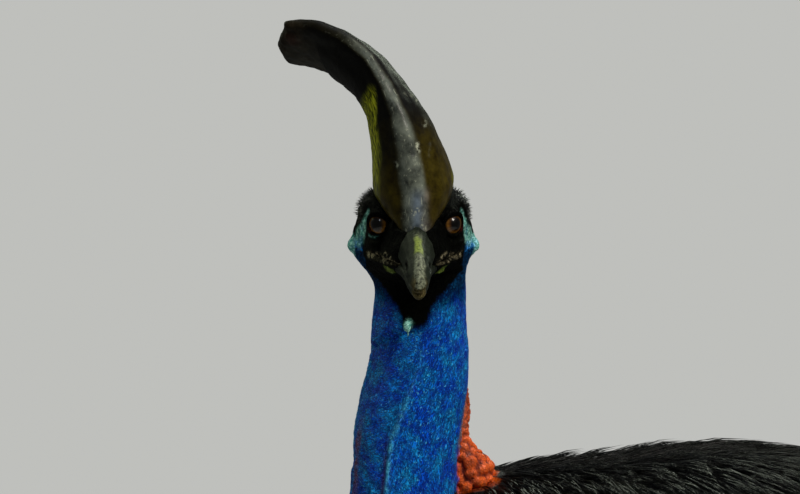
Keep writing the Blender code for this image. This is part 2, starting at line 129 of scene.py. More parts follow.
def fromLine(points, path):  # the distance to a bent line, and how far along it, from 0 to 1
    best, where = np.full(len(points), 1e9), np.zeros(len(points))
    stretches = len(path) - 1
    for i, (start, end) in enumerate(zip(path, path[1:])):
        run = np.subtract(end, start)
        part = np.clip((points - start) @ run / (run @ run), 0, 1)
        away = lengthOf(points - start - part[:, None] * run)
        closer = away < best
        best[closer] = away[closer]
        where[closer] = (i + part[closer]) / stretches
    return best, where


def relaxed(values, edges, rounds):  # each value drifts towards the mean of its neighbours
    one, two = edges.T
    total = len(values)
    count = np.maximum(np.bincount(edges.ravel(), minlength=total), 1)[:, None]
    for _ in range(rounds):
        near = np.stack([
            np.bincount(one, values[two, k], total) + np.bincount(two, values[one, k], total)
            for k in range(values.shape[1])
        ], axis=1)
        values = (values + near / count) / 2
    return values


def evened(mesh, rounds):  # takes out facets, and puts back the size that this loses
    points, edges = readPoints(mesh), readEdges(mesh)
    once = relaxed(points, edges, rounds)
    writePoints(mesh, once + relaxed(points - once, edges, rounds))


def lengthOf(vectors):  # of each row
    return np.linalg.norm(vectors, axis=1)


def unit(vectors):
    return vectors / np.maximum(np.linalg.norm(vectors, axis=-1, keepdims=True), 1e-6)


def trianglesOf(mesh):
    mesh.calc_loop_triangles()
    corners = np.empty(len(mesh.loop_triangles) * 3, dtype=np.int32)
    mesh.loop_triangles.foreach_get("vertices", corners)
    return corners.reshape(-1, 3)


def treeOf(mesh):
    return BVHTree.FromPolygons(readPoints(mesh).tolist(), trianglesOf(mesh).tolist())


def distancesTo(names, points, limit):  # from each point to the nearest of the nodes, up to the limit
    away = []
    for name in names:
        tree = treeOf(nodes[name].data)
        found = (tree.find_nearest(point, limit)[3] for point in points.tolist())
        away.append([limit if each is None else each for each in found])
    return np.min(away, axis=0)


def boxMiddle(node):
    low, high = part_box(node)
    return (low + high) / 2


def linked(name, data):
    made = bpy.data.objects.new(name, data)
    bpy.context.scene.collection.objects.link(made)
    return made


def newObject(name, shape):
    mesh = bpy.data.meshes.new(name)
    shape.to_mesh(mesh)
    shape.free()
    return linked(name, mesh)


def smoothed(mesh):
    mesh.polygons.foreach_set("use_smooth", np.ones(len(mesh.polygons), dtype=bool))


def applied(made):  # puts the modifiers into the mesh
    graph = bpy.context.evaluated_depsgraph_get()
    mesh = bpy.data.meshes.new_from_object(made.evaluated_get(graph))
    made.modifiers.clear()
    made.data = mesh
    return made


def joinedCopy(names, grow):  # the nodes' solids in one bmesh, a little larger all round
    shape = bmesh.new()
    for name in names:
        shape.from_mesh(nodes[name].data)
    bmesh.ops.remove_doubles(shape, verts=shape.verts, dist=1e-5)
    shape.normal_update()
    for vert in shape.verts:
        vert.co += vert.normal * grow
    return shape


def revoxelled(made, size):
    voxels = made.modifiers.new("voxels", "REMESH")
    voxels.mode = "VOXEL"
    voxels.voxel_size = size
    return applied(made)


def united(made, other):
    join = made.modifiers.new("union", "BOOLEAN")
    join.operation = "UNION"
    join.solver = "MANIFOLD"
    join.object = other
    before = len(made.data.vertices)
    applied(made)
    print("  union:", before, "->", len(made.data.vertices), "points")
    bpy.data.objects.remove(other)


def refined(mesh, chosen):  # splits the faces whose corners are all chosen
    shape = bmesh.new()
    shape.from_mesh(mesh)
    faces = [face for face in shape.faces if all(chosen[vert.index] for vert in face.verts)]
    edges = list({edge for face in faces for edge in face.edges})
    bmesh.ops.subdivide_edges(shape, edges=edges, cuts=1, use_grid_fill=True)
    shape.to_mesh(mesh)
    shape.free()


def addNode(tree, kind, sockets=None, **settings):  # a hex value in the sockets is a colour
    node = tree.nodes.new("ShaderNode" + kind)
    for key, value in settings.items():
        setattr(node, key, value)
    for key, value in (sockets or {}).items():
        if isinstance(value, bpy.types.NodeSocket):
            tree.links.new(value, node.inputs[key])
        else:
            node.inputs[key].default_value = fromHex(value) if isinstance(value, str) else value
    return node


def addMath(tree, operation, *values):
    return addNode(tree, "Math", dict(enumerate(values)), operation=operation).outputs[0]


def addScaled(tree, vector, scale):
    return addNode(tree, "VectorMath", {0: vector, 1: scale}, operation="MULTIPLY").outputs[0]


def addRange(tree, value, start, end, low=0.0, high=1.0):
    return addNode(tree, "MapRange", {
        "Value": value, "From Min": start, "From Max": end, "To Min": low, "To Max": high,
    }).outputs[0]


def addNoise(tree, where, scale, detail, roughness=0.5, distortion=0.0, **settings):
    return addNode(tree, "TexNoise", {
        "Vector": where, "Scale": scale, "Detail": detail, "Roughness": roughness, "Distortion": distortion,
    }, **settings).outputs[0]


def addMix(tree, share, one, other):  # between two colours
    return addNode(tree, "Mix", {0: share, 6: one, 7: other}, data_type="RGBA").outputs[2]


def addBlend(tree, share, one, other):  # between two values
    return addNode(tree, "Mix", {0: share, 2: one, 3: other}).outputs[0]


def readMarks(tree, name):  # the four masks in a colour attribute
    layer = addNode(tree, "Attribute", attribute_name=name)
    split = addNode(tree, "SeparateColor", {"Color": layer.outputs["Color"]})
    masks = {channel: split.outputs[channel] for channel in ("Red", "Green", "Blue")}
    return masks | {"Alpha": layer.outputs["Alpha"]}


def newMaterial(name, fixed):  # fixed holds the Principled BSDF's own values
    made = bpy.data.materials.new(name)
    made.use_nodes = True
    tree = made.node_tree
    shader = tree.nodes["Principled BSDF"]
    for key, value in fixed.items():
        shader.inputs[key].default_value = value
    return made, tree, shader, addNode(tree, "TexCoord").outputs["Object"]


def connect(tree, shader, colour, height=None, strength=0, distance=0, rough=None):
    found = {"Base Color": colour, "Roughness": rough}
    if height:
        sockets = {"Strength": strength, "Distance": distance, "Height": height}
        found["Normal"] = addNode(tree, "Bump", sockets).outputs[0]
    for key, value in found.items():
        if value:
            tree.links.new(value, shader.inputs[key])


# The head's own frame

def headFrame():
    turn, pitch = math.radians(carriage["turn"]), math.radians(carriage["pitch"])
    level = Vector((math.sin(turn), -math.cos(turn), 0))
    up = Vector((0, 0, 1))
    ahead = level * math.cos(pitch) - up * math.sin(pitch)
    crown = up * math.cos(pitch) + level * math.sin(pitch)
    turned = Matrix((ahead, up.cross(level), crown)).transposed().to_4x4()
    eyes = (boxMiddle("eye_left") + boxMiddle("eye_right")) / 2
    middle = eyes - ahead * carriage["eyeAhead"] * 0.001
    return Matrix.Translation(middle) @ turned @ Matrix.Scale(0.001, 4)


inHead = headFrame()
eyeMiddle = inHead.translation.copy()
shift = eyeMiddle - Vector(carriage["drawnAt"])
headAxes = np.array(inHead.to_3x3().normalized())


def toHead(points):  # world metres to head millimetres
    return (points - np.array(eyeMiddle)) @ headAxes * 1000


def fromHead(places):  # and back
    return places / 1000 @ headAxes.T + np.array(eyeMiddle)


# The neck's middle line, and the way that the throat faces, as in the solids
neckLine = {
    "z": (0.800, 0.872, 0.942, 1.005, 1.060, 1.115, 1.165, 1.190, 1.212, 1.232),
    "x": (0.0, 0.0, 0.0, 0.0, 0.0036, 0.0117, 0.0190, 0.0240, 0.0270, 0.0300),
    "y": (-0.215, -0.276, -0.309, -0.319, -0.3185, -0.3128, -0.3132, -0.315, -0.320, -0.323),
    "faces": (0, 0, 0, 0, 4, 18, 42, 54, 62, 64),
    "radius": 0.042,
}


def roundNeck(points):  # each point's angle from the throat, + to the bird's left, and its height
    z = points[:, 2] - shift.z
    faces = np.radians(np.interp(z, neckLine["z"], neckLine["faces"]))
    x = points[:, 0] - np.interp(z, neckLine["z"], neckLine["x"]) - shift.x
    y = points[:, 1] - np.interp(z, neckLine["z"], neckLine["y"]) - shift.y
    ahead = x * np.sin(faces) - y * np.cos(faces)
    aside = x * np.cos(faces) + y * np.sin(faces)
    return np.degrees(np.arctan2(aside, ahead)), z


# The skin: head, neck, wattles, body and legs in one closed mesh

skinSizes = {
    "headVoxel": 0.0020,
    "smallVoxel": 0.0015,
    "bodyVoxel": 0.013,
    "legVoxel": 0.0038,
    "fill": 0.0004,  # closes the gaps between the solids
    "coatDepth": 0.030,  # how far the body's skin lies inside the plumage's outline
    "neckPlug": 0.058,  # radius of the neck's root inside the breast
    "neckRoot": (0, -0.262, 0.905),  # and its middle, before the solids were centred
    "softGrow": 0.0014,  # how much larger the wattles and caruncles start
    "hockPlug": 0.021,  # radius of the ball that joins shank and thigh
    "hockOffset": (0, -0.004, 0.016),  # from the shank's top
    "ankleBlend": (0.022, 0.045),  # smoothed out to this far from the ankle
    "floorSnap": 0.0022,  # feet are flat below this height
    "legTop": 0.455,  # scaled skin ends at this height
    "backRise": 0.0045,  # the middle of the back over the solids
    "ankleHeight": 0.036,  # half height of the swelling that joins shank and foot
    "rounds": {"envelope": 22, "shoulder": 70, "head": 64, "soft": 12, "joined": 3, "legs": 4, "ankle": 16},
}
headNodes = ["head", "eye_left", "eye_right", "neck_upper", "neck_middle", "neck_lower"]
softNodes = ["wattle_left", "wattle_right", "nape_caruncles"]
neckSolids = ["neck_lower", "nape_caruncles"]  # the plumage keeps clear of these
bodyNodes = ["trunk", "tail", "wing_left", "wing_right", "thigh_left", "thigh_right"]
legNodes = [
    part + side for side in bothSides
    for part in ("shank_", "foot_", "toe_inner_", "toe_middle_", "toe_outer_")
]


def addBall(shape, centre, half, segments=24):
    size = Matrix.Diagonal((*half, 1))
    bmesh.ops.create_uvsphere(
        shape, u_segments=segments, v_segments=segments // 2, radius=1,
        matrix=Matrix.Translation(centre) @ size,
    )


def makeEnvelope():  # the plumage's outline, without facets
    made = revoxelled(newObject("envelope", joinedCopy(bodyNodes, skinSizes["fill"])),
                      skinSizes["bodyVoxel"])
    evened(made.data, skinSizes["rounds"]["envelope"])
    points = readPoints(made.data)
    shoulder = fade(np.abs(points[:, 0]), 0.14, 0.18) * fade(points[:, 2], 0.68, 0.76)
    relief = relaxed(points, readEdges(made.data), skinSizes["rounds"]["shoulder"]) - points
    points += relief * shoulder[:, None]
    writePoints(made.data, points)
    normals = readPoints(made.data, "normal")
    y = points[:, 1]
    crest = fade(y, -0.17, -0.10) * fall(y, 0.04, 0.14) * fade(normals[:, 2], 0.5, 0.9)
    points[:, 2] += skinSizes["backRise"] * crest
    writePoints(made.data, points)
    return made


def coatDepths(points):  # how deep the skin lies under the plumage's outline
    neck = distancesTo(neckSolids, points, 0.09)
    hock = distancesTo(("shank_left", "shank_right"), points, 0.09)
    crest = hill(points[:, 0], 0.09) * fade(points[:, 2], 0.97, 1.03)
    return skinSizes["coatDepth"] * fade(neck, 0.004, 0.075) * fade(hock, 0.002, 0.06) * (1 - 0.5 * crest)


def makeBodySkin(envelope, tree):
    made = linked("bodySkin", envelope.data.copy())
    points, normals = pointsAndNormals(made.data)
    inside = []
    for point, normal in zip(points, normals):
        hit = tree.ray_cast(Vector(point - normal * 0.001), Vector(-normal))
        inside.append(hit[3] if hit[0] is not None else 1.0)
    depth = np.minimum(coatDepths(points), np.array(inside) * 0.3)[:, None]
    depth = relaxed(depth, readEdges(made.data), 2)
    writePoints(made.data, points - normals * depth)
    return made


def makeSkin(envelope, tree):
    sizes, rounds = skinSizes, skinSizes["rounds"]
    broad = joinedCopy(headNodes, sizes["fill"])
    addBall(broad, Vector(sizes["neckRoot"]) + shift, (sizes["neckPlug"],) * 3)
    made = revoxelled(newObject("skin", broad), sizes["headVoxel"])
    evened(made.data, rounds["head"])
    soft = revoxelled(newObject("soft", joinedCopy(softNodes, sizes["softGrow"])), sizes["smallVoxel"])
    evened(soft.data, rounds["soft"])
    shape = bmesh.new()
    for part in (made, soft):
        shape.from_mesh(part.data)
    bpy.data.objects.remove(soft)
    shape.to_mesh(made.data)
    shape.free()
    revoxelled(made, sizes["headVoxel"])
    evened(made.data, rounds["joined"])
    united(made, makeBodySkin(envelope, tree))
    united(made, makeLegs())
    tag = bmesh.new()
    low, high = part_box("throat_tag")
    addBall(tag, (low + high) / 2, (high - low) / 2, 20)
    united(made, newObject("tag", tag))
    return made


def makeLegs():
    sizes, rounds = skinSizes, skinSizes["rounds"]
    legs = joinedCopy(legNodes, sizes["fill"])
    ankles = []
    for side in bothSides:
        low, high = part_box("shank_" + side)
        spots = [vert.co for vert in nodes["shank_" + side].data.vertices]
        crown = [spot for spot in spots if spot.z > high.z - 0.02]
        middle = sum(crown, Vector()) / len(crown)
        addBall(legs, middle + Vector(sizes["hockOffset"]), (sizes["hockPlug"],) * 3)
        foot = [spot for spot in spots if spot.z < low.z + 0.012]
        middle = sum(foot, Vector()) / len(foot)
        wide = max((spot - middle).to_2d().length for spot in foot)
        ankles.append(middle)
        addBall(legs, middle, (wide, wide, sizes["ankleHeight"]))
    made = revoxelled(newObject("legSkin", legs), sizes["legVoxel"])
    evened(made.data, rounds["legs"])
    points = readPoints(made.data)
    near = np.min([lengthOf(points - np.array(ankle)) for ankle in ankles], axis=0)
    soft = relaxed(points, readEdges(made.data), rounds["ankle"])
    points = points + (soft - points) * fall(near, *sizes["ankleBlend"])[:, None]
    points[:, 2] = np.where(points[:, 2] < sizes["floorSnap"], 0, points[:, 2])
    writePoints(made.data, points)
    return made


print("envelope and skin")
envelope = makeEnvelope()
envelopeTree = treeOf(envelope.data)
skin = makeSkin(envelope, envelopeTree)
print("  skin has", len(skin.data.vertices), "points")


# Folds, lids and lumps of the skin

eyes = {
    "centre": (0.5, 25.8, 0.0),  # mm, of the left eye
    "radius": 11.3,
    "turnOut": {"left": 37, "right": 31},  # degrees from straight ahead to where each eye looks
    "tiltUp": 9,
    "open": {"top": 33, "bottom": 44, "front": 47, "back": 45},  # lids' edges, degrees from its axis
}
lids = {  # the skin's distance from the eye's centre, in mm, by degrees beyond the lid's edge
    "degrees": (-8, -2.0, 0.6, 4, 9, 13, 18, 24, 32),
    "reach": (9.4, 10.3, 13.0, 13.5, 13.1, 12.5, 13.6, 13.2, 14.0),
    "blend": (12, 34),
    "rim": 12.6,  # mm from the eye's centre to the lashes and the red corner
    "fold": 1.3,  # mm more over the eye
}
faceFolds = {  # path, how far it stands out or, below 0, in, and its half width, in mm
    "brow": ([(26, 17, 8), (12, 27, 13.5), (-6, 36, 15.5), (-24, 42, 8)], 3.6, 3.0),
    "brow crease": ([(20, 24, 6), (6, 33, 12.5), (-10, 39, 13), (-22, 43, 6)], -1.3, 1.2),
    "lores hollow": ([(34, 17, -2), (22, 24, -8)], -2.4, 5.0),
    "strip behind the eye": ([(-12, 38, 12), (-17, 42, 0), (-24, 45, -13)], 1.4, 2.2),
    "groove behind the strip": ([(-24, 40, 12), (-30, 45, 2), (-40, 48, -8)], -2.2, 3.5),
    "gape": ([(46, 15, -21), (28, 22.5, -22.5), (10, 31, -24.5), (-6, 37, -26.5)], -2.4, 0.9),
    "upper lip": ([(46, 14, -18.5), (28, 22, -19.6), (10, 31, -21.4), (-8, 37.5, -22.5)], 1.5, 1.3),
    "lower lip": ([(40, 16, -24.5), (26, 22.5, -26), (8, 31, -28.5), (-8, 37, -30)], 1.3, 1.5),
    "gape corner": ([(-9, 38, -26.5), (-10, 38, -27)], 2.0, 2.2),
    "cheek fold": ([(22, 24, -13), (4, 34, -15.5), (-10, 40, -17)], 1.1, 1.5),
    "cheek crease": ([(24, 23, -10), (6, 33, -12.5), (-8, 39, -14)], -1.0, 1.1),
    "jaw fold": ([(22, 20, -35), (0, 31, -41), (-20, 40, -44)], 1.3, 2.4),
    "jaw crease": ([(18, 22, -39.5), (-4, 33, -46), (-22, 41, -50)], -1.5, 1.6),
    "ear opening": ([(-47, 49, -25), (-49, 48.5, -28)], -2.8, 1.8),
    "ear bulge": ([(-37, 50, -30), (-38, 50, -30)], 4.6, 4.2),
    "hollow over the bulge": ([(-34, 50, -19), (-28, 48, -24)], -1.2, 2.4),
}
neckFolds = {
    "ridgeAngle": 45.5,  # degrees from the throat to the long bright fold on each side
    "ridgeTop": 1.138,
    "ridgeHeight": 2.2,
    "ridgeWidth": 1.15,
    "frontPanel": 38,  # degrees from the throat to the edge of the front's crosswise wrinkles
    "creaseHeight": 1.146,  # of the deep crease across the front, and its rise per degree
    "creaseSlope": 0.00022,
}
mmPerDegree = 17.45  # round a circle with a radius of one metre
caruncleLumps = {"tries": 2600, "smallest": 2.8, "largest": 7.6, "clear": 0.60, "apart": 0.60}
tucks = {  # where the soft parts lie closer to the neck: height, half height and share of their depth
    "neckRadius": 0.043,
    "nape": (1.060, 0.014, 0.60),
    "wattleTops": (0.988, 1.018, 0.88),
}


def eyeAxes(side):  # where it looks, the way to its back corner, and up across it
    out, tilt = math.radians(eyes["turnOut"][side]), math.radians(eyes["tiltUp"])
    sign = 1 if side == "left" else -1
    look = Vector((math.cos(out) * math.cos(tilt), sign * math.sin(out) * math.cos(tilt), math.sin(tilt)))
    back = Vector((-math.sin(out), sign * math.cos(out), 0))
    up = look.cross(back) * sign
    return np.array(look), np.array(back), np.array(up)


def eyeCentre(side):
    ahead, aside, up = eyes["centre"]
    return np.array((ahead, aside if side == "left" else -aside, up))


def roundEye(places, side):  # degrees from the eye's axis, degrees beyond the lid, and its parts
    look, back, up = eyeAxes(side)
    away = places - eyeCentre(side)
    reach = lengthOf(away)
    ray = unit(away)
    angle = np.degrees(np.arccos(np.clip(ray @ look, -1, 1)))
    x, y = ray @ back, ray @ up
    length = np.maximum(np.hypot(x, y), 1e-6)
    wide = np.where(x > 0, eyes["open"]["back"], eyes["open"]["front"])
    tall = np.where(y > 0, eyes["open"]["top"], eyes["open"]["bottom"])
    edge = 1 / np.hypot(x / length / wide, y / length / tall)
    return angle, angle - edge, reach, ray, y / length


def sculptLids(places):
    for side in bothSides:
        angle, beyond, reach, ray, high = roundEye(places, side)
        wanted = np.interp(beyond, lids["degrees"], lids["reach"])
        wanted = wanted + lids["fold"] * np.clip(high, 0, 1) * fade(beyond, 0, 4) * fall(beyond, 8, 20)
        share = fall(beyond, *lids["blend"]) * (angle < 100) * (reach < 30)
        there = share > 0
        new = reach + (wanted - reach) * share
        places[there] = eyeCentre(side) + ray[there] * new[there, None]
    return places


def tuckedIn(points):  # the points, with the nape's middle and the wattles' tops closer to the neck
    angle, z = roundNeck(points)
    middle = np.column_stack([
        np.interp(z, neckLine["z"], neckLine["x"]) + shift.x,
        np.interp(z, neckLine["z"], neckLine["y"]) + shift.y,
    ])
    away = points[:, :2] - middle
    reach = lengthOf(away)
    height, half, share = tucks["nape"]
    tuck = share * hill(z - height, half) * fade(np.abs(angle), 95, 115)
    low, high, share = tucks["wattleTops"]
    tuck += share * fade(z, low, high) * fall(z, 1.10, 1.12) * fall(np.abs(angle), 62, 80)
    new = np.where(reach > tucks["neckRadius"],
                   tucks["neckRadius"] + (reach - tucks["neckRadius"]) * (1 - tuck), reach)
    new = np.where((z > 0.985) & (z < 1.12) & (reach < 0.12), new, reach)
    points = points.copy()
    points[:, :2] = middle + away * (new / np.maximum(reach, 1e-6))[:, None]
    return points


def spacedLumps(points, pool, z):  # lumps' centres and sizes, with none on top of another
    picked = random.choice(pool, min(caruncleLumps["tries"], len(pool)), replace=False)
    low = fall(z[picked], 1.02, 1.10)
    spread = caruncleLumps["largest"] - caruncleLumps["smallest"]
    sizes = caruncleLumps["smallest"] + spread * low * random.uniform(0.2, 1, len(picked)) ** 0.7
    kept = []
    for i in np.argsort(-sizes):
        place = points[picked[i]]
        if kept:
            others = np.array(kept)
            gap = lengthOf(others[:, :3] - place) * 1000
            if np.any(gap < caruncleLumps["apart"] * (others[:, 3] + sizes[i])):
                continue
        kept.append((*place, sizes[i]))
    kept = np.array(kept)
    print("  lumps:", len(kept))
    return kept[:, :3], kept[:, 3]


def lumpHeights(points, centres, sizes, clear):  # how far round lumps stand out, in mm
    height = np.zeros(len(points))
    uneven = points + np.column_stack([grain(points, 0.007, seed) for seed in (60, 61, 62)]) * 0.0024
    for centre, size in zip(centres, sizes):
        near = lengthOf(uneven - centre) * 1000
        height = np.maximum(height, np.sqrt(np.maximum(size**2 - near**2, 0)) - size * clear)
    return height


def refineFace(mesh):  # more points on the face and the tag, and again round the eyes
    places = toHead(readPoints(mesh))
    ahead, aside, up = places[:, 0], np.abs(places[:, 1]), places[:, 2]
    face = (ahead > -20) & (ahead < 60) & (up > -48) & (up < 26) & (aside < 60)
    hidden = ((up > 17) & (aside < 26)) | ((ahead > 30) & (aside < 9) & (up > -18))
    tag = toHead(np.array([boxMiddle("throat_tag")]))[0]
    refined(mesh, (face & ~hidden) | (lengthOf(places - tag) < 9))
    places = toHead(readPoints(mesh))
    chosen = np.zeros(len(places), bool)
    for side in bothSides:
        _, beyond, reach, _, _ = roundEye(places, side)
        chosen |= (beyond < 16) & (reach < 17)
    refined(mesh, chosen)


def sculptSkin(made):
    mesh = made.data
    refineFace(mesh)
    points = readPoints(mesh)
    places = sculptLids(toHead(points))
    lidded = np.min([roundEye(places, side)[1] for side in bothSides], axis=0)
    eased = relaxed(places, readEdges(mesh), 4)
    places += (eased - places) * (fade(lidded, 12, 20) * (lengthOf(places) < 75))[:, None]
    lumpy = distancesTo(["nape_caruncles"], points, 0.03)
    points = tuckedIn(fromHead(places))
    writePoints(mesh, points)
    normals = readPoints(mesh, "normal")
    mirrored = np.abs(places) * (0, 1, 0) + places * (1, 0, 1)
    onHead = fade(places[:, 2], -70, -50) * (lengthOf(places) < 110)
    rise = np.zeros(len(points))
    for path, height, width in faceFolds.values():
        away, _ = fromLine(mirrored, path)
        rise += height * hill(away, width)
    lidEdge = np.ones(len(points))
    for side in bothSides:
        _, beyond, reach, _, _ = roundEye(places, side)
        lidEdge = np.minimum(lidEdge, np.where(reach < 20, fade(beyond, 2, 10), 1))
    rise += onHead * lidEdge * (0.55 * furrows(places, 5.5, 1) + 0.3 * furrows(places, 3.0, 2) - 0.4)
    toCasque = distancesTo(["casque"], points, 0.012) * 1000
    rise += 1.3 * hill(toCasque - 2.6, 1.3) * lidEdge
    rise -= 2.8 * onHead * hill(mirrored[:, 2] + 22, 14) * fade(mirrored[:, 1], 36, 44)

    angle, z = roundNeck(points)
    radius, turn = neckLine["radius"], np.radians(angle)
    flow = np.column_stack([radius * np.cos(turn), radius * np.sin(turn), points[:, 2]])
    onNeck = (1 - onHead) * fade(z, 0.84, 0.88) * (np.abs(places[:, 1]) < 150)
    front = fall(np.abs(angle), neckFolds["frontPanel"] - 5, neckFolds["frontPanel"] + 5)
    front *= fade(z, 0.93, 0.98)
    lengthwise = furrows(flow * (1, 1, 0.20), 0.0048, 3) * 0.9 + furrows(flow * (1, 1, 0.3), 0.003, 4) * 0.3
    crosswise = furrows(flow * (0.32, 0.32, 1), 0.0034, 5) * 0.9
    bag = 0.8 * grain(flow * (1, 1, 0.35), 0.018, 6)
    rise += onNeck * (lengthwise * (1 - front) + crosswise * front - 0.5 + bag)
    offRidge = np.abs(angle + 1.2 * grain(points, 0.03, 7)) - neckFolds["ridgeAngle"]
    ridge = neckFolds["ridgeHeight"] * hill(offRidge * radius * mmPerDegree, neckFolds["ridgeWidth"])
    top = neckFolds["ridgeTop"]
    rise += ridge * fall(z, top - 0.012, top) * fade(z, 0.90, 0.96)
    crease = neckFolds["creaseHeight"] + neckFolds["creaseSlope"] * angle
    creased = fade(angle, -60, -35) * fall(angle, 12, 30) * (z > 1.1)
    rise += creased * (1.6 * hill(z - crease - 0.007, 0.004) - 3.0 * hill(z - crease, 0.0016))
    rise -= 4.8 * onNeck * hill(z - 1.120, 0.020) * hill(angle + 24, 40)

    wattle = distancesTo(("wattle_left", "wattle_right"), points, 0.03)
    onCaruncle = fall(lumpy, 0.001, 0.005) * (z < 1.13)
    onWattle = fall(wattle, 0.0012, 0.004)
    rise *= 1 - np.maximum(onCaruncle, onWattle) * 0.8
    pool = np.flatnonzero(onCaruncle > 0.6)
    centres, sizes = spacedLumps(points, pool, z)
    near = np.flatnonzero(lumpy < 0.02)
    lumps = lumpHeights(points[near], centres, sizes, caruncleLumps["clear"])
    rise[near] += lumps * 1.5 - 0.8 * onCaruncle[near]
    folded = 1.5 * furrows(points * (1, 1, 0.45), 0.0045, 8) - 0.5 + 0.8 * grain(points, 0.011, 9)
    rise += onWattle * folded
    rise += fall(points[:, 2], 0.42, 0.46) * 0.5 * grain(points, 0.012, 10)
    writePoints(mesh, points + normals * rise[:, None] / 1000)

    marks = {
        "flow": flow, "angle": angle, "z": z, "places": places, "mirrored": mirrored,
        "onHead": onHead, "onNeck": onNeck, "front": front, "onCaruncle": onCaruncle,
        "onWattle": onWattle, "lumps": np.zeros(len(points)), "toCasque": toCasque,
        "ridge": ridge * (z < top) * (z > 0.93),
    }
    marks["lumps"][near] = lumps
    return marks


print("folds and lids")
marks = sculptSkin(skin)
print("  skin has", len(skin.data.vertices), "points")


# Where the skin's colours lie

faceLines = {
    "strip": [(-7, 38, 12), (-9, 40, 2), (-13, 42.5, -8), (-24, 47, -20)],
    "fringe": [(-30, 41, 13), (-17, 38.5, 16.5)],
    "gape": faceFolds["gape"][0],
    "lores": [(16, 30.5, -16.5), (36, 20, -17.5)],
    "lowLid": [(0, 36.5, -10.3), (11, 30, -9.5)],
    "casque": [(44, 14.4, 12.5), (49, 8.8, 4.5)],
}
faceSpots = {"ear": (-38, 50, -29), "lime": (22, 21.5, -34)}
throatHalves = [(-97, 0), (-88, 8), (-72, 16), (-60, 24), (-52, 34), (-44, 40)]  # up, half width
stripWidths = [(-18, 7.0), (2, 3.2), (12, 1.8)]
faceEdges = {  # mm, from where each colour starts to where it is full, or the other way for the ends
    "blackAhead": (-20, -13), "blackUp": (-50, -43), "crownUp": (6, 11), "crownAhead": (-60, -50),
    "behindUp": (-24, -18), "behindAhead": (-20, -14), "casque": (3, 8), "throat": (-3, 4),
    "throatUp": (-98, -84), "shadowUnderHeadUp": (-86, -56), "shadowUnderHeadAhead": (-44, -24), "ear": (7, 11),
    "gapeFront": (14, 34), "gapeBack": (-7, -2), "lime": (3.0, 7.5),
}
neckTurns = {  # the same in degrees from the throat
    "purple": (3, 9), "nape": (150, 162), "greyIn": (136, 142), "greyOut": (155, 161), "lumps": (157, 166),
}
neckHeights = {  # and in metres above the floor
    "cyanHighlight": (1.088, 1.112), "purple": (1.06, 1.085), "patchTop": (1.05, 1.075), "patchFoot": (0.95, 1.0),
    "nape": (1.095, 1.122), "wattles": (0.985, 1.008), "greyTop": (1.10, 1.12), "greyFoot": (1.04, 1.06),
    "lumpsFoot": (1.024, 1.034), "lumpsLow": (1.062, 1.070), "lumpsTop": (1.102, 1.112),
    "bluishFoot": (0.86, 0.97), "bluishTop": (0.99, 1.01), "root": (0.86, 1.045),
}


def paintFace(points, marks, ragged, broken):
    mirrored, edges = marks["mirrored"], faceEdges
    ahead, aside, up = mirrored.T
    right = marks["places"][:, 1] < 0
    away = {name: fromLine(mirrored, path)[0] for name, path in faceLines.items()}
    away.update({name: lengthOf(mirrored - spot) for name, spot in faceSpots.items()})

    black = fade(ahead + ragged, *edges["blackAhead"]) * fade(up + ragged, *edges["blackUp"])
    crown = fade(up + ragged, *edges["crownUp"]) * fade(ahead + ragged, *edges["crownAhead"])
    behind = fade(up + ragged - 0.35 * (ahead + 24), *edges["behindUp"])
    behind *= fall(ahead - 8 * fade(up, -10, -2), *edges["behindAhead"])
    black = np.maximum(np.maximum(black, crown), behind)
    black = np.maximum(black, fall(marks["toCasque"] + ragged, *edges["casque"])) * marks["onHead"]
    # painted shade: the throat under the bill and chin is painted black
    half = np.interp(up, *zip(*throatHalves))
    throat = fall(aside + ragged - half, *edges["throat"]) * fade(up, *edges["throatUp"]) * (ahead > -30)
    # painted shadow under the head, on the top of the neck's front
    shadowUnderHead = 0.85 * fade(up + 2 * ragged, *edges["shadowUnderHeadUp"]) * fade(ahead, *edges["shadowUnderHeadAhead"])
    black = np.maximum(black, np.maximum(throat, shadowUnderHead) * (up < -30) * (marks["z"] > 1.13))

    wide = np.interp(up, *zip(*stripWidths))
    pale = 0.85 * fall(away["strip"], wide * 0.6, wide * 1.5) * (0.4 + 0.6 * broken)
    pale += 0.55 * hill(away["fringe"], 1.1) * broken
    pale = np.maximum(pale, fall(away["ear"] + ragged, *edges["ear"]) * (0.6 + 0.4 * broken))
    tag = np.array(boxMiddle("throat_tag"))
    onTag = fall(lengthOf((points - tag) * (1, 1, 0.55)), 0.0045, 0.007)
    pale = np.maximum(np.maximum(pale, onTag), 0.5 * hill(away["lowLid"], 0.8) * right * broken)
    tan = hill(np.abs(away["gape"] - 1.6), 0.8) * (0.1 + 1.0 * broken)
    tan *= 1 - 0.5 * fade(ahead, *edges["gapeFront"])
    # painted light: the streaks on the bird's right are painted brighter and those on its left darker
    tan *= np.where(right, 1.4, 0.75) * (0.4 + 0.6 * fade(grain(points, 0.007, 31), -0.15, 0.2))
    tan *= fade(ahead, *edges["gapeBack"])
    tan += (0.9 * hill(away["lores"], 0.8) + 0.6 * hill(away["casque"], 0.7)) * broken
    lime = fall(away["lime"] + ragged, *edges["lime"]) * (0.55 + 0.45 * broken)
    return black, pale, tan, lime


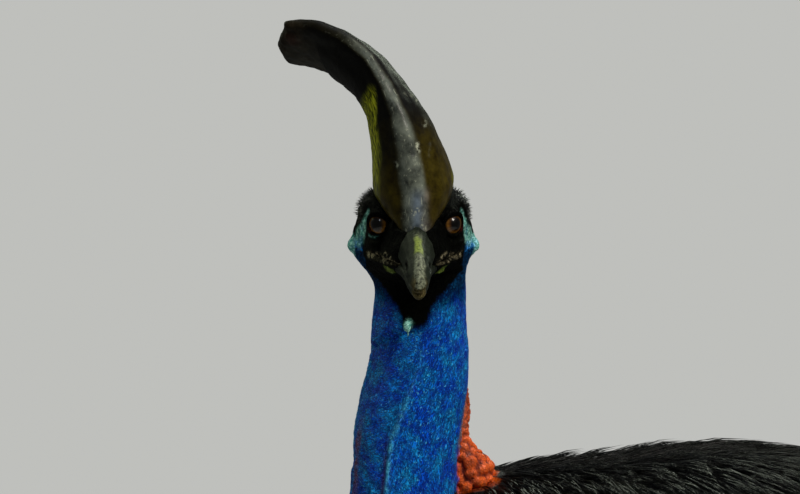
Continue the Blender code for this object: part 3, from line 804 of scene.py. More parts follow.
def paintNeck(points, marks, broken):
    angle, z, neck, onLumps = marks["angle"], marks["z"], marks["onNeck"], marks["onCaruncle"]
    around, turns, heights = np.abs(angle), neckTurns, neckHeights
    # painted highlight: cyan along the crest of the long fold on each side, fading out towards its top
    cyanHighlight = neck * marks["ridge"] / neckFolds["ridgeHeight"] * (0.35 + 0.65 * broken)
    cyanHighlight *= 1 - 0.8 * fade(z, *heights["cyanHighlight"])
    purple = fall(np.abs(angle + 6 + 3 * grain(points, 0.012, 24)), *turns["purple"])
    purple = purple * fall(z, *heights["purple"]) * (0.5 + 0.5 * broken)
    patch = hill(around - 40.5, 1.6) * fall(z, *heights["patchTop"]) * fade(z, *heights["patchFoot"])
    purple = np.maximum(purple, 0.6 * patch * (0.3 + 0.7 * broken)) * neck
    nape = fade(around + 9 * grain(points, 0.012, 25), *turns["nape"]) * fall(z, *heights["nape"])
    wattleTop = fade(z + 0.008 * grain(points, 0.012, 27), *heights["wattles"])
    red = np.maximum(onLumps, marks["onWattle"] * (1 - wattleTop))
    red = np.maximum(red, nape * neck * 0.9)
    grey = fade(around, *turns["greyIn"]) * fall(around, *turns["greyOut"])
    grey = grey * fall(z, *heights["greyTop"]) * fade(z, *heights["greyFoot"])
    grey = grey * fade(grain(points, 0.010, 26), -0.5, -0.1) * (0.4 + 0.6 * broken)
    foot = onLumps * fall(z + 0.004 * grain(points, 0.008, 29), *heights["lumpsFoot"])
    grey = np.maximum(grey, 0.7 * foot * (around < 150))
    edge = onLumps * fall(around, *turns["lumps"]) * fade(z, *heights["lumpsLow"])
    grey = np.maximum(grey, edge * fall(z, *heights["lumpsTop"]) * (0.4 + 0.6 * broken))
    bluish = fade(grain(points, 0.024, 28), -0.2, 0.8) * fade(z, *heights["bluishFoot"])
    bluish *= fall(z, *heights["bluishTop"])
    purple = np.maximum(purple, 0.4 * marks["onWattle"] * bluish)
    return cyanHighlight, purple, red, grey, nape


def paintSkin(made, marks):
    mesh = made.data
    points, normals = pointsAndNormals(mesh)
    ragged = 2.4 * grain(points, 0.006, 20) + 1.4 * grain(points, 0.0022, 21)
    broken = fade(grain(points, 0.003, 22) + 0.4 * grain(points, 0.0012, 23), -0.25, 0.25)
    black, pale, tan, lime = paintFace(points, marks, ragged, broken)
    cyanHighlight, purple, red, grey, nape = paintNeck(points, marks, broken)

    edges = readEdges(mesh)
    long = lengthOf(points[edges[:, 0]] - points[edges[:, 1]]) > 0.005
    stretched = np.zeros(len(points), bool)  # long faces, as from the lids to the bill
    stretched[edges[long]] = True
    tan[stretched] = 0
    pale[stretched] = 0
    redCorner = np.zeros(len(points))
    for side in bothSides:
        look, back, high = eyeAxes(side)
        corner = eyeCentre(side) + lids["rim"] * (0.78 * look * 0.86 + 0.62 * back - 0.45 * high)
        redCorner = np.maximum(redCorner, hill(lengthOf(marks["places"] - corner), 1.8))

    z, around = marks["z"], np.abs(marks["angle"])
    low, high = neckHeights["root"]
    # painted shade: skin round the neck's root that runs in under the plumes is painted black
    root = np.flatnonzero((z > low) & (z < high) & (marks["onHead"] < 0.5))
    away = distancesTo(["neck_lower", "neck_middle"] + softNodes, points[root], 0.02)
    black[root] = np.maximum(black[root], fade(away, 0.0032, 0.0060))
    shelf = fade(normals[root, 2], 0.50, 0.66)  # faces up, under the plumes, and is painted black as shade
    shelf = np.maximum(shelf, stretched[root]) * (marks["lumps"][root] < 0.3)
    black[root] = np.maximum(black[root], shelf * (around[root] > 100))
    behindRed = black[root] * (around[root] > 138)  # red lies under the black, so no blue shows
    red[root] = np.maximum(red[root], behindRed)
    # how far the lumps stand out, for the painted shade between them
    lump = np.maximum(np.clip(marks["lumps"] / 1.8, 0, 1), 0.55 * marks["onWattle"])
    lump = np.maximum(lump, 0.5 * nape * (1 - marks["onCaruncle"]))
    bareHead = marks["onHead"] * fall(-marks["places"][:, 2], 62, 84)

    storeMarks(mesh, "marksA", black, pale, tan, lime)
    storeMarks(mesh, "marksB", cyanHighlight, purple, red, grey)
    storeMarks(mesh, "marksC", bareHead, marks["front"], lump, redCorner)
    storeValues(mesh, "flow", "FLOAT_VECTOR", marks["flow"])


# Bare skin is a leathery, finely creased hide. It is satin; every colour is painted darker in its creases,
# as painted shade, and cyan specks between them are painted glints

skinColours = {
    "deep": "#011E7C",  # painted shade in the creases of the neck's sides
    "shade": "#021A6C",  # and of its front
    "cobalt": "#0562F4",
    "azure": "#18AEFF",
    "violet": "#2436C8",
    # the colour of the painted glints
    "cyanHighlight": "#62D8FF",
}
skinLayers = [  # attribute, channel, the colour painted in its creases as shade, and between them
    ("marksC", "Red", "#022258", "#1486E0"),
    ("marksB", "Green", "#2A1430", "#8A5A88"),
    ("marksB", "Blue", "#5A0E01", "#FF6A12"),
    ("marksB", "Alpha", "#5A5450", "#B0A8A0"),
    # the fold's painted cyan highlight
    ("marksB", "Red", "#0E84C4", "#6CE2FF"),
    ("marksA", "Red", "#010101", "#070805"),
    ("marksA", "Blue", "#3A3422", "#C8BC96"),
    ("marksA", "Green", "#2AA294", "#BCFFEE"),
    ("marksA", "Alpha", "#4A621A", "#98B048"),
    ("marksC", "Alpha", "#200806", "#481810"),
]


def skinMaterial(name, gleam):
    made, tree, shader, where = newMaterial(name, {"Roughness": 0.44, "Specular IOR Level": gleam})
    flow = addNode(tree, "Attribute", attribute_name="flow").outputs["Vector"]
    masks = {layer: readMarks(tree, layer) for layer in ("marksA", "marksB", "marksC")}
    front = masks["marksC"]["Green"]
    patterns = []
    for stretch in ((1, 1, 0.38), (0.5, 0.5, 1)):  # creases 1.8 mm apart, down the neck or across it
        patterns.append(addNoise(tree, addScaled(tree, flow, stretch), 560, 3, 0.6, 1.2))
    bare = addMath(tree, "MAXIMUM", masks["marksC"]["Red"], masks["marksB"]["Blue"])
    pattern = addBlend(tree, bare, addBlend(tree, front, *patterns), addNoise(tree, where, 330, 3, 0.6))
    folded = addMath(tree, "ABSOLUTE", addMath(tree, "SUBTRACT", pattern, 0.5))
    crease = addRange(tree, folded, 0.004, 0.10)
    # the neck's front gets less azure than its sides: partly its own colour, partly painted shade
    lit = addRange(tree, addMath(tree, "SUBTRACT", 1.0, front), 0, 1, 0.85, 1.0)
    azure = addRange(tree, addNoise(tree, where, 75, 4, 0.6), 0.42, 0.64)
    # painted glints: cyan specks on the skin between the creases
    paintedGlints = addRange(tree, addNoise(tree, where, 520, 1), 0.62, 0.70, 0, 0.85)
    shares = {
        "violet": addRange(tree, addNoise(tree, where, 190, 3, noise_dimensions="4D"), 0.52, 0.66, 0, 0.4),
        "azure": addMath(tree, "MULTIPLY", azure, lit),
        "cyanHighlight": addMath(tree, "MULTIPLY", paintedGlints, crease),
    }
    colour = skinColours["cobalt"]
    for tint, share in shares.items():
        colour = addMix(tree, share, colour, skinColours[tint])
    # the creases are painted darker, as painted shade
    colour = addMix(tree, crease, addMix(tree, front, skinColours["deep"], skinColours["shade"]), colour)
    # red skin is painted darker between its lumps and in its creases, as painted shade
    onLump = addRange(tree, masks["marksC"]["Blue"], 0, 0.7, 0.16)
    lumpy = addMath(tree, "MULTIPLY", addRange(tree, crease, 0, 1, 0.68), onLump)
    for layer, channel, dark, light in skinLayers:
        share = lumpy if (layer, channel) == ("marksB", "Blue") else crease
        colour = addMix(tree, masks[layer][channel], colour, addMix(tree, share, dark, light))

    pebbles = addNode(tree, "TexVoronoi", {"Vector": where, "Scale": 760.0}, feature="F1")
    height = addMath(tree, "MULTIPLY_ADD", pebbles.outputs["Distance"], -0.35, crease)
    rough = addBlend(tree, masks["marksA"]["Red"], addRange(tree, crease, 0, 1, 0.6, 0.40), 0.62)
    connect(tree, shader, colour, height, 0.9, 0.0006, rough)
    return made


# Scaled leg skin: horny plates with dark joints, mottled in colour

def legMaterial():
    made, tree, shader, where = newMaterial("scaly leg skin, horny", {"Roughness": 0.5})
    cells = addNode(tree, "TexVoronoi", {"Vector": where, "Scale": 210.0}, feature="DISTANCE_TO_EDGE")
    joint = addRange(tree, cells.outputs["Distance"], 0, 0.12)
    plate = addMix(tree, addNoise(tree, where, 45, 4), "#6A6150", "#94896F")
    connect(tree, shader, addMix(tree, joint, "#2A251D", plate), joint, 0.9, 0.0008)
    return made


# Skin under the plumage: painted near-black as shade, and matt, so that no pale gap shows between the
# strands

def underMaterial():
    made, tree, shader, where = newMaterial(
        "skin under plumage, painted dark as shade, matt", {"Roughness": 0.75, "Specular IOR Level": 0.1})
    noise = addNoise(tree, where, 160, 4)
    connect(tree, shader, addMix(tree, noise, "#030303", "#0A0908"), noise, 0.6, 0.0008)
    return made


def dressSkin(made):
    mesh = made.data
    mesh.materials.clear()
    for material in (
        skinMaterial("bare bird skin, satin", 0.11), legMaterial(), underMaterial(),
        skinMaterial("black facial skin and painted shade, matt", 0.02), skinMaterial("swollen red skin, glossy", 0.4),
    ):
        mesh.materials.append(material)
    faces = len(mesh.polygons)
    centres = np.empty(faces * 3)
    mesh.polygons.foreach_get("center", centres)
    centres = centres.reshape(-1, 3)
    bare = distancesTo(headNodes + softNodes + ["throat_tag"], centres, 0.02)
    body = bare > np.where(centres[:, 2] < 1.0, 0.0045, 0.009)
    starts = np.empty(faces, dtype=np.int32)
    mesh.polygons.foreach_get("loop_start", starts)
    firstCorners = np.empty(len(mesh.loops), dtype=np.int32)
    mesh.loops.foreach_get("vertex_index", firstCorners)
    painted = []
    for layer in ("marksA", "marksB"):
        flat = np.empty(len(mesh.vertices) * 4)
        mesh.attributes[layer].data.foreach_get("color", flat)
        painted.append(flat.reshape(-1, 4)[firstCorners[starts]])
    # faces painted mostly black, black skin and painted shade alike, take the matt material
    matt = (painted[0][:, 0] > 0.5) & (painted[0][:, 1:].max(1) < 0.3)
    kinds = np.where(body, 2, np.where(matt, 3, np.where(painted[1][:, 2] > 0.5, 4, 0)))
    kinds[centres[:, 2] < skinSizes["legTop"]] = 1
    mesh.polygons.foreach_set("material_index", kinds.astype(np.int32))
    smoothed(mesh)
    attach(made, "root")
    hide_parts(*headNodes[:1], *headNodes[3:], *softNodes, *bodyNodes, *legNodes, "throat_tag")


print("skin colours")
paintSkin(skin, marks)
dressSkin(skin)


# Horn: the casque, the two halves of the bill and the claws

horn = {
    "casqueVoxel": 0.0013,
    "billVoxel": 0.0009,
    "clawVoxel": 0.0011,
    "sunk": 1.6,  # mm that a root goes into the skin
    "billLift": 2.4,  # mm that the bill's end is raised
    "nostril": ((90, -11.0), (8.5, 3.3)),  # mm ahead and up, and its half length and height
    "rounds": {"casque": 60, "bill": 26, "claw": 10},
}
casqueFront = [  # ahead, left and up, in mm, from the skull to the tip
    (48, 0, 1), (44, -1, 15), (36.8, -1, 34.7), (25.5, -6.5, 66.3), (12.3, -13, 94.4),
    (-0.3, -21.5, 116.8), (-13.8, -36, 136.6), (-30, -58.5, 148.6), (-44.8, -82, 151), (-55.6, -102, 146.3),
]
casqueRear = [  # the same along the rear edge
    (-64, 0, 7), (-68, -1, 15), (-70.8, -1, 25.3), (-73.5, -6.5, 41.7), (-74.3, -13, 57.6),
    (-75.7, -21.5, 73.2), (-80.2, -36, 88.4), (-85.9, -58.5, 98.4), (-89.2, -82, 105), (-90.4, -102, 107.7),
]
casqueGlow = [(20, -26.5), (35, -27.5), (52, -29.5), (69, -32), (85, -35), (105, -34.6)]  # up, left: where the painted backlit glow runs
ridgeWidths = [(0, 11.5), (0.3, 10.5), (0.45, 7.5), (0.65, 4.6), (0.8, 3.6)]  # along it, mm to each side
billWaist = [(20, 1), (40, 0.80), (67, 0.78), (94, 0.89), (115, 1)]  # ahead, share of the solid's width
casqueScratches = [  # (left, up) of each stroke's ends and its half width, in mm
    ((0.8, 71.8), (1.6, 67), 0.8), ((-0.2, 63), (-0.8, 55.7), 0.45), ((-4.8, 46.1), (-7.2, 31.5), 0.3),
    ((-16.4, 56.5), (-15.6, 55), 0.7), ((-5.6, 110), (0, 105.4), 0.3), ((3.6, 101.6), (4.4, 100), 0.6),
    ((8, 84.8), (8.4, 83), 0.5), ((12, 69.9), (11.4, 61.5), 0.2), ((32, 28), (32.4, 26), 0.5),
]


def hornPiece(name, voxel, rounds, root=None):
    made = revoxelled(newObject(name + "_horn", joinedCopy([name], 0.0003)), voxel)
    evened(made.data, rounds)
    if root:
        points = readPoints(made.data)
        tree = treeOf(nodes[root].data)
        found = [tree.find_nearest(point, 0.004) for point in points.tolist()]
        away = np.array([1.0 if hit[0] is None else hit[3] for hit in found])
        inward = np.array([(0, 0, 0) if hit[0] is None else -hit[1] for hit in found])
        sink = horn["sunk"] / 1000 * fall(away, 0.0005, 0.0035)
        writePoints(made.data, points + inward * sink[:, None])
    smoothed(made.data)
    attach(made, "root")
    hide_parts(name)
    return made


def makeCasque():
    made = hornPiece("casque", horn["casqueVoxel"], horn["rounds"]["casque"], "head")
    mesh = made.data
    points, normals = pointsAndNormals(mesh)
    places = toHead(points)
    toFront, along = fromLine(places, casqueFront)
    toRear, _ = fromLine(places, casqueRear)
    tip = fade(along, 0.86, 0.98)
    rise = 0.5 * grain(points, 0.018, 40) + 0.22 * grain(points, 0.006, 41)
    rise += tip * (0.5 * grain(points, 0.005, 42) + 0.3 * grain(points, 0.0028, 47))
    scored = furrows(np.column_stack([along * 18, toFront * 0.06, toRear * 0.01]), 0.5, 43)
    rise -= 0.12 * (1 - scored)
    rise += fade(places[:, 2], 6, 30) * (1 - tip) * (1.5 * hill(toFront, 5) - 1.6 * hill(toFront - 16, 5.5))
    seam = fade(places[:, 2], 12, 22)
    rise += (1 - seam) * 0.4 * (furrows(points, 0.004, 44) - 0.5)
    frontSum = np.interp(along, np.linspace(0, 1, len(casqueFront)), [at[1] + at[2] for at in casqueFront])
    beyond = places[:, 1] + places[:, 2] - frontSum
    warps = [  # where each applies, and mm ahead, left and up
        (hill(along - 0.63, 0.09), (0, -1.2, -3.0)),
        (hill(along - 0.54, 0.07) * fade(beyond, -8, 3), (0, -1.7, -1.9)),
        (hill(places[:, 1] + 66, 18) * fade(-beyond, 12, 46), (0, -1.2, -4.2)),
        (fade(along, 0.80, 0.92), (0, 0, 3.2)),
        (fade(along, 0.90, 1.0) * fade(places[:, 2], 140, 156), (0, -10.5, 0.6)),
        (fade(places[:, 0], 26, 42) * fall(places[:, 2], 4, 22), (3.0, 0, -5.5)),
    ]
    points = points + sum(share[:, None] * way for share, way in warps) / 1000 @ headAxes.T
    writePoints(mesh, points + normals * rise[:, None] / 1000)
    # painted reflection: the front ridge's grey sheen, over horn that is paler there
    wide = np.interp(along, *zip(*ridgeWidths))
    ridge = fall(toFront + 0.25 * wide * grain(points, 0.02, 45), wide * 0.55, wide * 1.3)
    ridge *= 1 - 0.9 * fade(along, 0.66, 0.84)
    ahead, aside, up = places.T
    # painted light: the yellow-green glow of backlit horn along the edge on the bird's right
    line = np.interp(up, *zip(*casqueGlow))
    glow = fall(aside - line + 0.8 * grain(points, 0.012, 46), 2.0, 4.6)
    stray = grain(points, 0.016, 50)
    glow *= fade(up + 7 * stray, 8, 38)
    glow *= fall(up + 4 * stray + 0.6 * np.maximum(-ahead - 8, 0), 101, 116)
    bound = np.interp(up, (86, 95, 103, 111), (-80, -47, -41, -37))
    glow *= fade(aside, bound - 3, bound + 1)
    glow *= fall(ahead + 7 * stray, -2, 14) * fade(ahead + 13 * stray, -66, -20)
    glow *= 0.66 + 0.34 * grain(np.column_stack([along * 5, toFront * 0.3, toRear * 0.3]), 0.5, 51)
    # and a weaker painted glow along the edge on the bird's left
    bound = np.interp(up, (10, 45, 95), (26, 23, 9))
    rim = fade(aside, bound + 4.6, bound + 6.6)
    glow = np.maximum(glow, 0.22 * rim * fade(up, 14, 30) * fall(up, 80, 100) * (1 - ridge))
    # dark horn, deepened with painted shade on the upper part and on one flank
    flank = fall(aside, -3, 6) * fade(up, 30, 70) * 0.85
    dark = np.maximum(fade(along, 0.30, 0.47), flank) * (1 - ridge * 0.9)
    frontOf = places * (0, 1, 1)
    strokes = np.zeros(len(points))
    for start, end, half in casqueScratches:
        away, _ = fromLine(frontOf, [(0, *start), (0, *end)])
        strength = min(1, (half / 0.75) ** 2)
        strokes = np.maximum(strokes, strength * hill(away, half + 0.3) * (toFront < 30))
    low = fade(up, 4, 10) * fall(up, 30, 42)
    pink = low * hill(aside - 7.5, 2.6) * (0.5 + 0.5 * grain(points, 0.008, 49)).clip(0, 1)
    blue = low * hill(aside - 0.5, 3.4)
    russet = hill(lengthOf(places - (-52, -101, 132)), 5)
    storeMarks(mesh, "marksB", strokes, pink, blue, russet)
    storeMarks(mesh, "marksA", ridge, glow, dark, tip)
    lengths = np.column_stack([along * 0.26, toFront * 0.001, toRear * 0.001])
    storeValues(mesh, "flow", "FLOAT_VECTOR", lengths)
    mesh.materials.append(casqueMaterial())


# Casque horn: a thin keratin sheath over spongy bone, worn smooth, with dull chalky scratches along the
# front ridge.
# Its look of old tortoiseshell is partly painted: a grey sheen on the front ridge, shade on the upper part
# and one flank, and a backlit glow on its edges

casqueColours = {
    "flank": ("#1A1303", "#42390D"),
    # the ridge's painted sheen
    "ridge": ("#30342F", "#6E7468"),
    # the painted backlit glow
    "glow": ("#4E5405", "#D0D42E"),
    # dark horn and painted shade
    "dark": ("#020201", "#0A0804"),
    "tip": ("#0A0804", "#2A2418"),
    "pink": ("#4A423C", "#8A7C72"),
    "blue": ("#30383E", "#66737E"),
    "russet": ("#160804", "#3A1408"),
    "worn": "#B4B8A0",
}


def casqueMaterial():
    made, tree, shader, where = newMaterial("casque keratin, worn, with painted sheen, shade and glow", {
        "Roughness": 0.34, "Specular IOR Level": 0.08, "Coat Weight": 0.03, "Coat Roughness": 0.12,
    })
    flow = addNode(tree, "Attribute", attribute_name="flow").outputs["Vector"]
    main, more = readMarks(tree, "marksA"), readMarks(tree, "marksB")
    mottle = addNoise(tree, where, 90, 6, 0.65)
    shade = addRange(tree, mottle, 0.32, 0.68)
    lines = addNoise(tree, addScaled(tree, flow, (0.16, 1, 0.4)), 700, 3)
    fibre = addRange(tree, lines, 0.40, 0.62)
    masks = {
        "ridge": main["Red"], "dark": main["Blue"], "glow": main["Green"], "tip": main["Alpha"],
        "blue": more["Blue"], "pink": more["Green"], "russet": more["Alpha"],
    }
    colour = addMix(tree, shade, *casqueColours["flank"])
    for name, mask in masks.items():
        own = addMix(tree, fibre if name == "glow" else shade, *casqueColours[name])
        colour = addMix(tree, mask, colour, own)
    chips = addNoise(tree, where, 240, 5, 0.7)
    scratch = addRange(tree, lines, 0.63, 0.70)
    worn = addMath(tree, "MAXIMUM", scratch, addRange(tree, chips, 0.60, 0.66))
    worn = addMath(tree, "MULTIPLY", addMath(tree, "MULTIPLY", worn, main["Red"]), 0.45)
    torn = addMath(tree, "MULTIPLY", addRange(tree, chips, 0.44, 0.56), more["Red"])
    worn = addMath(tree, "MAXIMUM", worn, torn)
    rough = addBlend(tree, main["Blue"], addRange(tree, worn, 0, 1, 0.30, 0.75), 0.55)
    height = addMath(tree, "MULTIPLY_ADD", lines, 0.5, mottle)
    connect(tree, shader, addMix(tree, worn, colour, casqueColours["worn"]), height, 0.35, 0.0005, rough)
    return made


def makeBills():
    for name in ("bill_upper", "bill_lower"):
        made = hornPiece(name, horn["billVoxel"], horn["rounds"]["bill"], "head")
        mesh = made.data
        points, normals = pointsAndNormals(mesh)
        ahead, aside, up = toHead(points).T
        rise = 0.25 * grain(points, 0.005, 50) + 0.12 * grain(points, 0.002, 51)
        upper = name == "bill_upper"
        nostril = np.zeros(len(points))
        rise -= 1.3 * hill(up + 20.5, 0.9) * fade(ahead, 60, 90)
        culmen = fall(np.abs(aside - 0.7) + 1.4 * grain(points, 0.004, 53), 2.9, 4.9)
        culmen *= (normals @ headAxes[:, 2] > 0.2) * upper
        if upper:
            (middle, height), (long, tall) = horn["nostril"]
            slot = np.hypot((ahead - middle) / long, (up - height + (ahead - middle) * 0.12) / tall)
            flank = np.abs(aside) > 3
            rise -= 3.2 * fall(slot, 0.5, 1.1) * flank
            rise += 0.5 * hill(slot - 1.5, 0.3) * flank
            # the slot is painted black, as painted shade inside the nostril
            nostril = fall(slot, 0.7, 1.3) * flank
            rise += 1.2 * hill(aside, 2.6) * (normals @ headAxes[:, 2] > 0) * fade(ahead, 50, 60)
            rise += 2.0 * hill(np.hypot(ahead - 49, aside), 4.5) * (up > -8)
        narrow = np.interp(ahead, *zip(*billWaist)) - 1
        lift = horn["billLift"] * fade(ahead, 62, 112)
        warp = np.column_stack([np.zeros(len(points)), aside * narrow, lift])
        writePoints(mesh, points + (normals * rise[:, None] + warp @ headAxes.T) / 1000)
        patch = culmen * fade(ahead + 4 * grain(points, 0.004, 54), 58, 66)
        patch *= fall(ahead + 5 * grain(points, 0.006, 52), 88, 96)
        worn = culmen * (fade(ahead, 88, 96) + 0.5 * hill(ahead - 60, 3.5))
        edge = fade(ahead, 104, 116) if not upper else 0.7 * fade(ahead, 112, 122)
        storeMarks(mesh, "marksA", patch, worn, edge, nostril)
        mesh.materials.append(billHorn)


# Bill horn: dense keratin, dark and finely scaly, rubbed pale on the ridge and at the tip

billColours = {
    "side": ("#0A0D09", "#272D22"),
    "patch": ("#4A5724", "#8A9748"),
    "worn": ("#0C0E0A", "#82876F"),
    "edge": ("#2A2512", "#786C46"),
    "nostril": "#010101",
}


def billMaterial():
    made, tree, shader, where = newMaterial(
        "bill keratin, rubbed", {"Roughness": 0.5, "Specular IOR Level": 0.05})
    masks = readMarks(tree, "marksA")
    flakes = addNoise(tree, where, 420, 4, 0.7)
    shade = addRange(tree, flakes, 0.36, 0.64)
    colour = addMix(tree, shade, *billColours["side"])
    for name, channel in (("edge", "Blue"), ("patch", "Red"), ("worn", "Green")):
        colour = addMix(tree, masks[channel], colour, addMix(tree, shade, *billColours[name]))
    colour = addMix(tree, masks["Alpha"], colour, billColours["nostril"])
    connect(tree, shader, colour, flakes, 0.8, 0.0005, addRange(tree, flakes, 0, 1, 0.36, 0.62))
    return made


# Claw horn: black keratin, grown in rings and scuffed by the ground

def clawMaterial():
    made, tree, shader, where = newMaterial("claw keratin, scuffed", {"Roughness": 0.4})
    rings = addNode(tree, "TexWave", {"Vector": where, "Scale": 60, "Distortion": 3.0, "Detail": 2},
                    bands_direction="Y").outputs[0]
    worn = addRange(tree, addNoise(tree, where, 260, 5, 0.7), 0.5, 0.75)
    connect(tree, shader, addMix(tree, worn, "#0D0B09", "#4A4237"), rings, 0.5, 0.0004)
    return made


print("horn")
makeCasque()
billHorn = billMaterial()
makeBills()
clawHorn = clawMaterial()
for side in bothSides:
    for toe in ("inner", "middle", "outer"):
        claw = hornPiece("claw_" + toe + "_" + side, horn["clawVoxel"], horn["rounds"]["claw"])
        claw.data.materials.append(clawHorn)


# Eyes: a wet ball with a clear bulge over an orange-brown iris

eyeLook = {
    "segments": 64,
    "bulge": 0.9,  # mm that the clear front stands proud
    "pupil": 20.5,  # degrees from the axis
    "iris": 46.0,
}


def eyeMaterial():
    made, tree, shader, _ = newMaterial("wet eye, clear over brown iris", {
        "Roughness": 0.35, "Specular IOR Level": 0.1, "Coat Weight": 0.55, "Coat Roughness": 0.02,
    })
    look = addNode(tree, "Attribute", attribute_name="look").outputs["Vector"]
    parts = addNode(tree, "SeparateXYZ", {"Vector": look}).outputs
    streaks = addNoise(tree, addScaled(tree, look, (1, 1, 0.12)), 9, 4, 0.6)
    ramp = addNode(tree, "ValToRGB", {0: addMath(tree, "MULTIPLY_ADD", streaks, 0.05, parts["Z"])})
    pupil, iris = eyeLook["pupil"] / 100 + 0.025, eyeLook["iris"] / 100 + 0.025
    stops = [
        (pupil - 0.012, "#020101"), (pupil + 0.014, "#140803"), (pupil + 0.07, "#43270B"),
        (iris - 0.09, "#7E5418"), (iris - 0.03, "#4A300E"), (iris + 0.01, "#060403"),
    ]
    for i, (at, code) in enumerate(stops):
        stop = ramp.color_ramp.elements[i] if i < 2 else ramp.color_ramp.elements.new(at)
        stop.position = at
        stop.color = fromHex(code)
    fibres = addRange(tree, streaks, 0.3, 0.7, 0.55, 1.25)
    # painted shade: the iris darkens towards its top, as under the brow's shadow
    shaded = addRange(tree, parts["Y"], -0.6, 0.9, 1.15, 0.45)
    scale = addMath(tree, "MULTIPLY", fibres, shaded)
    colour = addNode(tree, "VectorMath", {0: ramp.outputs["Color"], "Scale": scale}, operation="SCALE")
    connect(tree, shader, colour.outputs[0])
    return made


def makeEyes():
    material = eyeMaterial()
    for side in bothSides:
        look, back, up = eyeAxes(side)
        shape = bmesh.new()
        bmesh.ops.create_uvsphere(shape, u_segments=eyeLook["segments"],
                                  v_segments=eyeLook["segments"] // 2, radius=1)
        made = newObject("eyeball_" + side, shape)
        local = readPoints(made.data)
        angle = np.degrees(np.arccos(np.clip(local[:, 2], -1, 1)))
        reach = eyes["radius"] + eyeLook["bulge"] * fall(angle, 8, 44)
        sign = 1 if side == "left" else -1
        places = eyeCentre(side) + (local * reach[:, None]) @ np.stack([back * sign, up, look])
        writePoints(made.data, fromHead(places))
        storeValues(made.data, "look", "FLOAT_VECTOR", np.column_stack([unit(local[:, :2]), angle / 100]))
        smoothed(made.data)
        made.data.materials.append(material)
        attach(made, "root")
        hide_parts("eye_" + side)


print("eyes")
makeEyes()


# Plumage: hair-like black feathers in locks that hang from the back and cover the body

coat = {
    "locks": 15000,
    "strands": 6,  # in each lock
    "radius": 0.00048,
    "lockWidth": 0.0060,
    "rootDepth": 0.85,  # part of the way from the outline in to the skin
    "tipDepth": (0.0, 0.008),
    "length": {  # metres, by distance from the neck's skin
        "near": (0.0, 0.05, 0.16, 0.45),
        "long": (0.040, 0.065, 0.115, 0.165),
    },
    "thighLength": 0.085,
    "turned": 9,  # degrees that locks differ in direction
    "varies": (0.8, 1.12),  # shares of the length
    "starts": (0, 0.14),  # where on its lock's path a strand starts, and where it ends
    "ends": (0.72, 1.0),
    "stray": 0.0022,  # metres aside at the tip
    "wave": 0.0012,
    "lockTips": (-0.002, 0.003),
    "patch": 0.003,  # of the OFBake map, for each lock
}
rings = 3  # along each strand, before its tip


def coatFlow(points, normals):  # the lie of the coat, along the plumage's outline
    y = points[:, 1]
    top = np.clip(normals[:, 2], 0, 1)
    sign = np.where(points[:, 0] > 0, 1.0, -1.0)
    middle = hill(points[:, 0], 0.035) * top
    rear = np.interp(y, (-0.32, -0.24, -0.12, 0.0, 0.2), (-0.3, -0.05, 0.25, 0.7, 1.0))
    rear = rear * (1 - middle) + middle * np.interp(y, (-0.3, -0.24, -0.15), (0.5, 1.0, 1.5))
    side = np.interp(y, (-0.3, -0.1, 0.1), (0.9, 0.6, 0.3)) * (1 - middle)
    wanted = np.column_stack([sign * side * top, rear * (0.3 + 0.7 * top), top * 0.6 - 1])
    return unit(wanted - normals * (wanted * normals).sum(1)[:, None])


def nearestOn(tree, points):  # the nearest places on the surface, and the way it faces there
    found = [tree.find_nearest(point) for point in points.tolist()]
    return np.array([hit[0] for hit in found]), np.array([hit[1] for hit in found])


def insideNode(name, points, margin):  # inside the node, or within the margin of it
    tree = treeOf(nodes[name].data)
    found = [tree.find_nearest(point, 0.06) for point in points.tolist()]
    return np.array([hit[0] is not None and ((Vector(point) - hit[0]).dot(hit[1]) < 0 or hit[3] < margin)
                     for point, hit in zip(points.tolist(), found)])


def coatRoots(envelope, count):
    three = readPoints(envelope.data)[trianglesOf(envelope.data)]
    across = np.cross(three[:, 1] - three[:, 0], three[:, 2] - three[:, 0])
    area = lengthOf(across) / 2
    middle = three.mean(1)
    area *= 1 + 1.2 * fade(middle[:, 2], 0.75, 0.95) * fall(middle[:, 1], -0.05, 0.15)
    toNeck = distancesTo(neckSolids, middle, 0.5)
    area *= 1 + 3.5 * fall(toNeck, 0.008, 0.045)
    picked = random.choice(len(area), count, p=area / area.sum())
    share = random.dirichlet((1, 1, 1), count)
    roots = (three[picked] * share[:, :, None]).sum(1)
    margins = dict.fromkeys(neckSolids, 0.001) | {"shank_" + side: 0.003 for side in bothSides}
    taken = [insideNode(name, roots, margin) for name, margin in margins.items()]
    return roots[~np.any(taken, axis=0)]


def layLocks(roots, tree):  # four points along each lock, the way out of the coat and its depth
    total = len(roots)
    toNeck = distancesTo(neckSolids, roots, 0.5)
    length = np.interp(toNeck, coat["length"]["near"], coat["length"]["long"])
    thigh = roots[:, 2] < np.interp(roots[:, 1], (-0.3, 0.3), (0.62, 0.60))
    length = np.where(thigh, coat["thighLength"], length) * random.uniform(*coat["varies"], total)
    turned = np.radians(random.normal(0, coat["turned"], total))
    places, normals = nearestOn(tree, roots)
    path, out = [places], [normals]
    steps = rings * 2
    for _ in range(steps):
        flow = coatFlow(places, normals)
        side = np.cross(flow, normals)
        flow = flow * np.cos(turned)[:, None] + side * np.sin(turned)[:, None]
        under = fade(-normals[:, 2], 0.15, 0.5)[:, None]
        flow = flow * (1 - under) + np.array((0, 0.25, -0.97)) * under
        moved = places + flow * (length / steps)[:, None]
        nearest, facing = nearestOn(tree, moved)
        hung = fade(-facing[:, 2], 0.1, 0.4)[:, None]
        places = nearest * (1 - hung) + moved * hung
        normals = unit(normals * hung + facing * (1 - hung))
        path.append(places)
        out.append(normals)
    return np.stack(path[::2], 1), np.stack(out[::2], 1), coatDepths(roots), thigh


